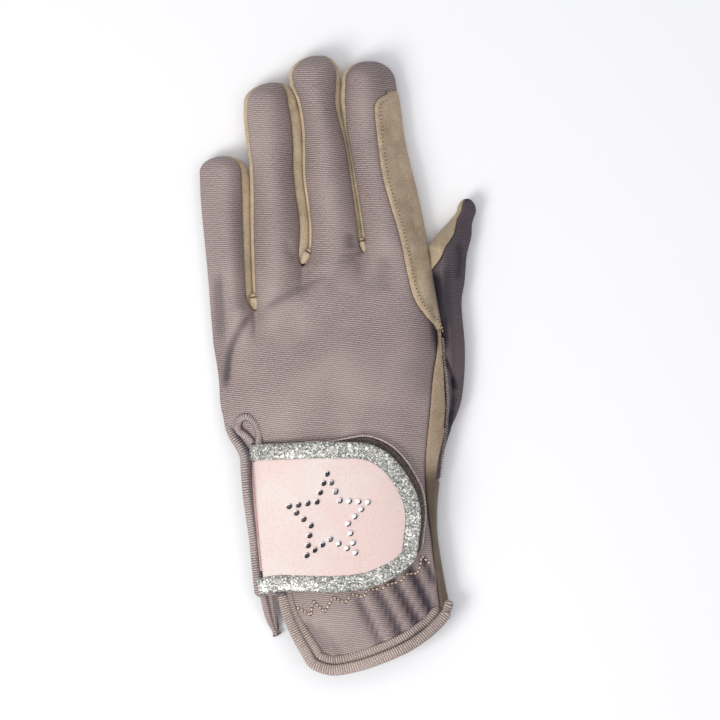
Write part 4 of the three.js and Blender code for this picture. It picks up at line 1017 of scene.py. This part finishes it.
# The straight left edge beside the binding: a place on it, and how it leans
EDGE_X, EDGE_Y, EDGE_LEAN = -29.5, -40.8, -0.098
strap_rows = np.array([
    (0.0, 0.02), (0.18, 0.01), (0.36, 0.0), (0.55, 0.0), (0.665, 0.01), (0.762, 0.06), (0.838, 0.14),
    (0.898, 0.24), (0.948, 0.36), (0.968, 0.5), (0.956, 0.65), (0.936, 0.77), (0.858, 0.86), (0.755, 0.925),
    (0.655, 0.965), (0.48, 0.985), (0.3, 0.985), (0.16, 0.985), (0.055, 1.01)])
strap_fine = course(strap_rows * [STRAP_LENGTH, -STRAP_HEIGHT] + [STRAP_LEFT, STRAP_TOP], 600)


def strap_line(inset, t):
    """The strap's outline moved inwards, at shares of its length."""
    return sampled(offset_line(strap_fine, -inset), np.linspace(0, 1, len(strap_fine)), t)


def strap_height(xy, layer):
    """The strap follows the dome of the wrist at its layer's height and bends down to the binding at its
    left."""
    x, y = xy[..., 0], xy[..., 1]
    bend = 3.2 * clamp((STRAP_LEFT + 4.5 - x) / 4.5) ** 2
    return hand_height(x, y) + layer - bend


def plate(name, inset, layer, rows, columns, dip):
    """A tongue of cloth: straight lines from the upper to the lower edge, rounded over at its rim."""
    u, v = np.meshgrid(np.linspace(0, 1, columns), np.linspace(0, 1, rows))
    u = 1 - (1 - u) ** 1.3
    top, bottom = strap_line(inset, u / 2), strap_line(inset, 1 - u / 2)
    xy = mix(bottom, top, v[..., None])
    first, last = xy[:, :1, 0], xy[:, -1:, 0]
    edge = EDGE_X + EDGE_LEAN * (xy[:, :1, 1] - EDGE_Y)
    xy[..., 0] = mix(edge, last, (xy[..., 0] - first) / (last - first))
    z = strap_height(xy, layer) - dip * (np.abs(2 * v - 1) ** 12 + u ** 30)
    return make_mesh(name, np.dstack([xy, z]), grid_faces(rows, columns).reshape(-1, 4).tolist())


def swept(name, path, profile, shrink=None, outer_shade=0.0):
    """A closed profile (out, up) carried along a path that keeps it level; flat ends close it. The attribute
    valley paints shade on it towards its foot on both sides, and over its outer half as far as is asked."""
    tangent = unit(np.gradient(path, axis=0))
    out = unit(np.column_stack([tangent[:, 1], -tangent[:, 0], 0 * tangent[:, 0]]))
    up = np.cross(out, tangent)
    profile = np.broadcast_to(profile, (len(path), *np.shape(profile)[-2:]))
    if shrink is not None:
        profile = profile * shrink[:, None, None]
    ring = path[:, None] + profile[..., :1] * out[:, None] + profile[..., 1:] * up[:, None]
    n, m = ring.shape[:2]
    level = np.zeros((n, m))
    cloth = np.dstack([level + np.arange(m) / m * 10, level + lengths(path)[:, None], level])
    top = profile[..., 1].max(1)[:, None]
    wide = profile[..., 0].max(1)[:, None]
    # Painted shade towards the foot and over the outer half
    foot = clamp(1.15 - 1.9 * profile[..., 1] / top)
    dark = np.maximum(foot, outer_shade * ease(0.5 - profile[..., 0] / wide * 1.5))
    return make_mesh(name, ring, tube_faces(n, m), cloth=cloth, valley=dark, steep=level)


def oval(width, height, points, square=1.0):
    """A closed oval of the given width and height; square below 1 makes its corners fuller."""
    angle = np.linspace(0, 2 * np.pi, points + 1)[:-1]
    fuller = lambda s: np.sign(s) * np.abs(s) ** square
    return np.column_stack([width / 2 * fuller(np.cos(angle)), height / 2 * fuller(np.sin(angle))])


def nubuck_finish():
    """Pale pink nubuck: a broad blush, fine specks and a soft nap."""
    material, place, shader = new_finish(
        "pink_nubuck", Sheen_Weight=0.15, Sheen_Roughness=0.5, Specular_IOR_Level=0.08)
    broad = place.noise(45.0, 2.0)
    fine = place.noise(1500.0, 3.0)
    colour = broad.within(0.35, 0.65).blend(tone(231, 217, 210), tone(233, 208, 201))
    colour = (fine.within(0.5, 0.78) * 0.55).blend(colour, tone(206, 178, 172))
    join(shader, Base_Color=colour, Normal=(fine + broad).bump(0.4, 0.00008), Roughness=0.85 + fine * 0.1)
    return material


def glitter_finish():
    """Every cell of a fine Voronoi pattern is one flake: its own tint and tilt, and a lightness from dark to
    white that is partly its own tone and partly painted glint.
    """
    material, place, shader = new_finish("silver_glitter", Specular_IOR_Level=0.6)
    flake = place.add("TexVoronoi", None, {"Vector": place, "Scale": 2200.0}, "Color")
    tone_and_glint, tint, tilt = flake.parts("Color", "Color")
    stops = [(0.0, tone(84, 88, 82)), (0.3, tone(140, 142, 134)), (0.6, tone(184, 180, 172)),
             (0.8, tone(214, 208, 200)), (0.92, tone(255, 253, 246))]
    colour = tone_and_glint.add("ValToRGB", {"stops": stops}, {"Fac": tone_and_glint})
    colour = (tint.within(0.78, 0.95) * 0.4).blend(colour, tone(130, 146, 136))
    join(shader, Base_Color=colour, Normal=tilt.bump(0.8, 0.0002), Roughness=0.2 + tint * 0.35,
         Metallic=tilt.within(0.3, 0.8) * 0.7)
    return material


def hook_finish():
    """Hook tape: close dark bristles."""
    material, place, shader = new_finish("hook_tape", Roughness=0.8)
    cell = place.add("TexVoronoi", None, {"Vector": place, "Scale": 2200.0}, "Distance")
    colour = cell.within(0.1, 0.6).blend(tone(138, 122, 110), tone(70, 58, 51))
    join(shader, Base_Color=colour, Normal=(1 - cell).bump(0.6, 0.0001))
    return material


def shown(x):
    """0 over the strap's left part and 1 over its right, where the underlay shows beyond the edge."""
    return ease((x + 4) / 12)


panel = plate("strap_face", STRAP_BORDER - 0.4, FACE_LAYER, 60, 90, 0.2)
finish_piece(panel, nubuck_finish(), "pink_suede", "strap_panel")
thicken(panel, 1.4)
middle = strap_line(STRAP_BORDER / 2, np.linspace(0, 1, 420))
border_path = np.column_stack([middle, strap_height(middle, 3.3)])
border = swept("strap_glitter", border_path, oval(STRAP_BORDER, 1.9, 24, 0.55))
finish_piece(border, glitter_finish(), "glitter", "strap_border")
backing = plate("strap_underlay", 0.3, 1.7, 50, 80, 0.3)
moved = get(backing.data.vertices, "co", 3) * 1000
move_points(backing.data, (moved + shown(moved[:, :1]) * [1.5, 2.0, 0] + [0, 0.2, 0]) / 1000)
finish_piece(backing, hook_finish(), "hook_backing", "strap_backing")
thicken(backing, 0.9)

# The face's turned edge at the left, in a darker pink as painted shade, and the dark bar tack that fastens
# its upper corner
turned_line = course([(-29.7, -40.5), (-28.5, -53.6), (-27.3, -65.7), (-26.1, -78.0)], 120)
turned_path = np.column_stack([turned_line, strap_height(turned_line, 2.6)])
rose = suede_finish("shaded_pink_edge", tone(208, 166, 160), tone(164, 128, 124))
finish_piece(swept("strap_turned_edge", turned_path, oval(1.2, 2.0, 12)), rose, "pink_suede")
tack_finish = thread_finish("bar_tack", tone(92, 36, 36), tone(48, 22, 24))
tack = np.array([(-29.3, -39.4), (-29.1, -40.2)])
tack = np.column_stack([tack, strap_height(tack, 4.1)])
threads("bar_tack", tack, tack + [0.75, -0.15, 0], 0.3, tack_finish, "pink_suede")

# The underlay's fine rim, a rolled edge of the lighter cloth
rim_line = strap_line(0.0, np.linspace(0.13, 0.6, 300))
rim_line = rim_line + shown(rim_line[:, :1]) * [1.7, 2.2]
rim_path = np.column_stack([rim_line, strap_height(rim_line, 1.9)])
rim_finish = thread_finish("rim_cloth", tone(214, 198, 190), tone(150, 134, 130))
finish_piece(swept("strap_underlay_rim", rim_path, oval(0.6, 0.6, 8)), rim_finish, "hook_backing")

# ## Star of cut stones
# Thirty round flat-backed stones of clear glass with a silver foil behind, pressed on the pink nubuck:
# one at each point and each hollow of a five-pointed star, and two between.
STONE_RADIUS = 1.08
STAR_CENTRE = np.array([-2.85, -59.4])
STAR_REACH = np.array([14.2, 15.3])
STAR_HOLLOW = 0.473
STAR_TURN = math.radians(3)
corner = np.arange(11)
reach = STAR_REACH * np.where(corner % 2, STAR_HOLLOW, 1.0)[:, None]
angle = np.pi * (corner / 5 + 0.5) + STAR_TURN
corners = STAR_CENTRE + reach * np.column_stack([np.cos(angle), np.sin(angle)])
share = np.arange(3)[None, :, None] / 3
star = mix(corners[:-1, None], corners[1:, None], share).reshape(-1, 2)
# One stone: a girdle, a crown of sixteen facets in two rows, and a flat table, its edges left sharp
stone_rings = np.array([(0.86, 0.0), (1.0, 0.22), (0.97, 0.36), (0.8, 0.68), (0.5, 0.9)])
angle = np.linspace(0, 2 * np.pi, 9)[:-1]
turned = angle[None, :] + np.array([0, 0, 0, 0.5, 0])[:, None] * (2 * np.pi / 8)
one = np.dstack([stone_rings[:, :1] * np.cos(turned), stone_rings[:, :1] * np.sin(turned),
                 np.broadcast_to(stone_rings[:, 1:], (5, 8))]) * STONE_RADIUS
# Each is turned by its own angle and tilted with the strap under it
slope_x, slope_y = ((strap_height(star + step, FACE_LAYER) - strap_height(star - step, FACE_LAYER)) / 2
                    for step in np.eye(2))
spin = (np.arange(len(star)) * 2.4)[:, None, None]
sx = one[None, ..., 0] * np.cos(spin) - one[None, ..., 1] * np.sin(spin)
sy = one[None, ..., 0] * np.sin(spin) + one[None, ..., 1] * np.cos(spin)
sz = one[None, ..., 2] + sx * slope_x[:, None, None] + sy * slope_y[:, None, None]
sz = sz + strap_height(star, FACE_LAYER - 0.03)[:, None, None]
stones = np.stack([sx + star[:, 0, None, None], sy + star[:, 1, None, None], sz], -1)
index = np.arange(len(star) * one[..., 0].size).reshape(-1, *one.shape[:2])
quads = (grid_faces(*one.shape[:2], closed=True) + index[:, :1, :1, None]).reshape(-1, 4)
halves = np.concatenate([quads[:, [0, 1, 3]], quads[:, 1:]]).tolist()
tables = index[:, -1].tolist() + index[:, 0, ::-1].tolist()
star_piece = make_mesh("star_stones", stones, halves + tables)
# Each facet's colour is painted reflection: white or dark by the way that it faces, with a painted white
# glint on facets that lean towards the fingers and to the left, and the stones at the left are painted darker
crystal, place, shader = new_finish("foiled_glass", Roughness=0.3, Specular_IOR_Level=0.25)
across, down = place.add("NewGeometry", output="Normal").parts()[:2]
turned_away = across * 0.8 - down * 0.5 + place.parts()[0] * -36.0
foil = turned_away.within(-0.04, 0.14).blend(tone(250, 247, 248), tone(30, 23, 27))
glint = (down * 0.85 - across * 0.5).within(0.36, 0.5)
join(shader, Base_Color=glint.blend(foil, tone(252, 250, 250)))
finish_piece(star_piece, crystal, "crystal", *(f"stone_{k:02d}" for k in range(1, 31)))
star_piece.data.shade_flat()

# ## Binding beside the strap, hanging loop and tail
# The edge of the wrist slit is bound with a tube of the ribbed cloth. At its top it makes a small loop to
# hang the glove by, and at its foot it ends in a folded, pointed tail.


def ribbed(path, profile, pitch, deep, slant=0.0):
    """Ridges across a tube: its profile swells by a sine of the length along it, slanting round its girth."""
    around = np.linspace(0, 2 * np.pi, len(profile) + 1)[:-1]
    wave = np.sin(2 * np.pi * lengths(path)[:, None] / pitch + slant * np.cos(around)[None, :])
    size = np.hypot(*profile.T)[None, :, None]
    return profile[None] * (1 + deep * wave[..., None] / size)


def binding_finish(name, light, dark, pitch):
    """The ribs of a binding: light crests and dark furrows straight across it as painted highlight and shade,
    with a little unevenness, and a violet painted shade where its attribute valley asks.
    """
    return lycra_finish(name, light, dark, tone(62, 52, 74), rib=pitch)


def tapered(count, start=60, end=60, least=0.1):
    """Sizes along a tube that round its ends off, as the root of a steep rise from either end."""
    t = np.linspace(0, 1, count)
    return np.sqrt(clamp(np.minimum(t * start + 0.1, (1 - t) * end + least)))


side_path = course([
    (-38.4, -18.0, 5.4), (-38.3, -22.5, 4.8), (-37.2, -27.7, 4.9), (-35.6, -31.5, 5.8), (-33.2, -35.3, 7.0),
    (-31.8, -38.6, 7.6), (-31.4, -44.0, 7.8), (-30.7, -52.0, 7.8), (-29.6, -60.0, 7.6), (-28.5, -67.5, 7.4),
    (-27.9, -74.0, 7.2), (-27.2, -81.0, 6.8), (-26.6, -87.2, 6.2)], 420)
side_profile = ribbed(side_path, oval(4.1, 4.6, 24, 0.85), 0.85, 0.1, 1.0)
# Its outer half gets painted shade
side = swept("side_tube", side_path, side_profile, tapered(420, 6, 40, 0.2), 0.85)
bound_cloth = binding_finish("bound_cloth", tone(212, 196, 186), tone(92, 80, 82), 0.85)
finish_piece(side, bound_cloth, "lycra", "side_binding")

loop_path = course([
    (-26.9, -35.4, 13.4), (-27.1, -29.8, 12.4), (-28.4, -26.9, 12.8), (-30.9, -24.9, 12.6),
    (-33.4, -25.6, 11.6), (-34.4, -27.8, 10.8), (-33.9, -29.7, 10.8), (-32.0, -31.2, 11.4),
    (-30.3, -32.7, 11.4), (-29.4, -33.9, 11.6)], 300)
loop = swept("loop_tube", loop_path, ribbed(loop_path, oval(2.4, 2.2, 16), 0.7, 0.09, 0.6))
loop_cloth = binding_finish("loop_cloth", tone(222, 206, 196), tone(92, 80, 82), 0.7)
finish_piece(loop, loop_cloth, "lycra", "hanging_loop")

# The tail is a sheet between two lines, with a crease down it that fades out and turns towards its point
u, v = np.meshgrid(np.linspace(-1, 1, 25), np.linspace(0, 1, 60))
tail_left = course([(-27.0, -86.0), (-26.3, -89.5), (-25.4, -93.5), (-24.2, -96.8), (-22.6, -99.4),
                    (-21.0, -101.0)], 60)
tail_right = course([(-21.3, -86.0), (-21.0, -93.0), (-20.7, -101.1)], 60)
tail_plan = mix(tail_left[:, None], tail_right[:, None], (u[..., None] + 1) / 2)
crease = 0.8 * np.exp(-(((u + 0.1 - 0.5 * v) / 0.2) ** 2)) - 0.35 * np.exp(-(((u - 0.45) / 0.25) ** 2))
tail_z = mix(8.0, 2.8, ease(v)) - crease * (1 - v ** 3) - 0.5 * u * u
tail_faces = grid_faces(60, 25, turned=True).reshape(-1, 4).tolist()
# The crease's depth is passed on as valley: painted shade in the crease
tail = make_mesh("tail_flap", np.dstack([tail_plan, tail_z]), tail_faces, cloth=np.dstack([tail_plan, 0 * u]),
                 valley=clamp(crease), steep=0 * u)
finish_piece(tail, lycra, "lycra", "hem_tail")
thicken(tail, 1.8)

# ## Bindings of the cuff
# The gathered cuff is edged twice: a broad rolled binding outside and a slimmer piping just inside it,
# both of the ribbed cloth, with the ribs across them.
t = np.linspace(0, 1, 640)


def cuff_path(inset, drop):
    """Along the cuff's edge at an inset, on the height of the back there."""
    xy = cuff_point(t, inset)
    return np.column_stack([xy, hand_height(xy[:, 0], xy[:, 1]) - drop])


# The outer one runs on past the cuff's edge and turns up at the thumb's side
outer_end = [(37.1, -92.0, 8.2), (38.0, -90.2, 7.6), (38.2, -88.4, 6.6)]
outer_path = course(np.concatenate([cuff_path(1.85, 0.5)[::2], outer_end]), 700)
outer_profile = ribbed(outer_path, oval(3.9, 3.2, 24, 0.8), 0.8, 0.08, 0.4)
outer = swept("cuff_rolled_edge", outer_path, outer_profile, tapered(700))
cuff_cloth = binding_finish("cuff_cloth", tone(222, 204, 192), tone(112, 97, 92), 0.8)
finish_piece(outer, cuff_cloth, "lycra", "cuff_binding")
# The inner one starts at half its width, and its height falls less than its width
inner_path = cuff_path(4.0 + piping_width(t) / 2, 0.35)
slimmer = (piping_width(t) / PIPING_WIDTH)[:, None, None] ** np.array([1, 0.3])
inner_profile = ribbed(inner_path, oval(PIPING_WIDTH, 2.3, 20), 0.8, 0.09, 0.4) * slimmer
inner = swept("cuff_inner_piping", inner_path, inner_profile, tapered(640))
piping_cloth = binding_finish("piping_cloth", tone(220, 202, 189), tone(92, 78, 77), 0.8)
finish_piece(inner, piping_cloth, "lycra", "cuff_piping")

# ## Camera, floor and light
# The glove lies on a plain white table and is seen from straight above, lit by a soft light from the lower
# left, a broad one overhead and a weak even light from all round.
floor_mesh = bpy.data.meshes.new("floor")
floor_mesh.from_pydata([(-2, -2, 0), (2, -2, 0), (2, 2, 0), (-2, 2, 0)], [], [(0, 1, 2, 3)])
floor = bpy.data.objects.new("floor", floor_mesh)
bpy.context.scene.collection.objects.link(floor)
floor_mesh.materials.append(new_finish("white_table", Base_Color=(0.96, 0.96, 0.96, 1), Roughness=0.9)[0])


def soft_light(name, place, size, power, colour):
    """A square area light that faces the glove."""
    data = bpy.data.lights.new(name, "AREA")
    data.size, data.energy, data.color = size, power, colour
    lamp = bpy.data.objects.new(name, data)
    lamp.location = place
    lamp.rotation_euler = (-Vector(place)).to_track_quat("-Z", "Y").to_euler()
    bpy.context.scene.collection.objects.link(lamp)


soft_light("window", (-0.52, -0.38, 0.7), 0.4, 5.2, (1.0, 0.985, 0.96))
soft_light("overhead", (0.15, 0.05, 1.1), 1.3, 4.8, (0.98, 0.98, 1.0))
world = bpy.data.worlds.new("studio")
bpy.context.scene.world = world
world.use_nodes = True
world.node_tree.nodes["Background"].inputs["Color"].default_value = (0.9, 0.92, 1.0, 1)
world.node_tree.nodes["Background"].inputs["Strength"].default_value = 0.44
bpy.context.scene.view_settings.view_transform = "Standard"

lens = bpy.data.cameras.new("camera")
lens.sensor_width = 36.0
lens.lens = 173.4
lens.clip_start, lens.clip_end = 0.1, 10.0
camera = bpy.data.objects.new("camera", lens)
camera.location = (0.0077, 0.0015, 1.208)
bpy.context.scene.collection.objects.link(camera)
bpy.context.scene.camera = camera
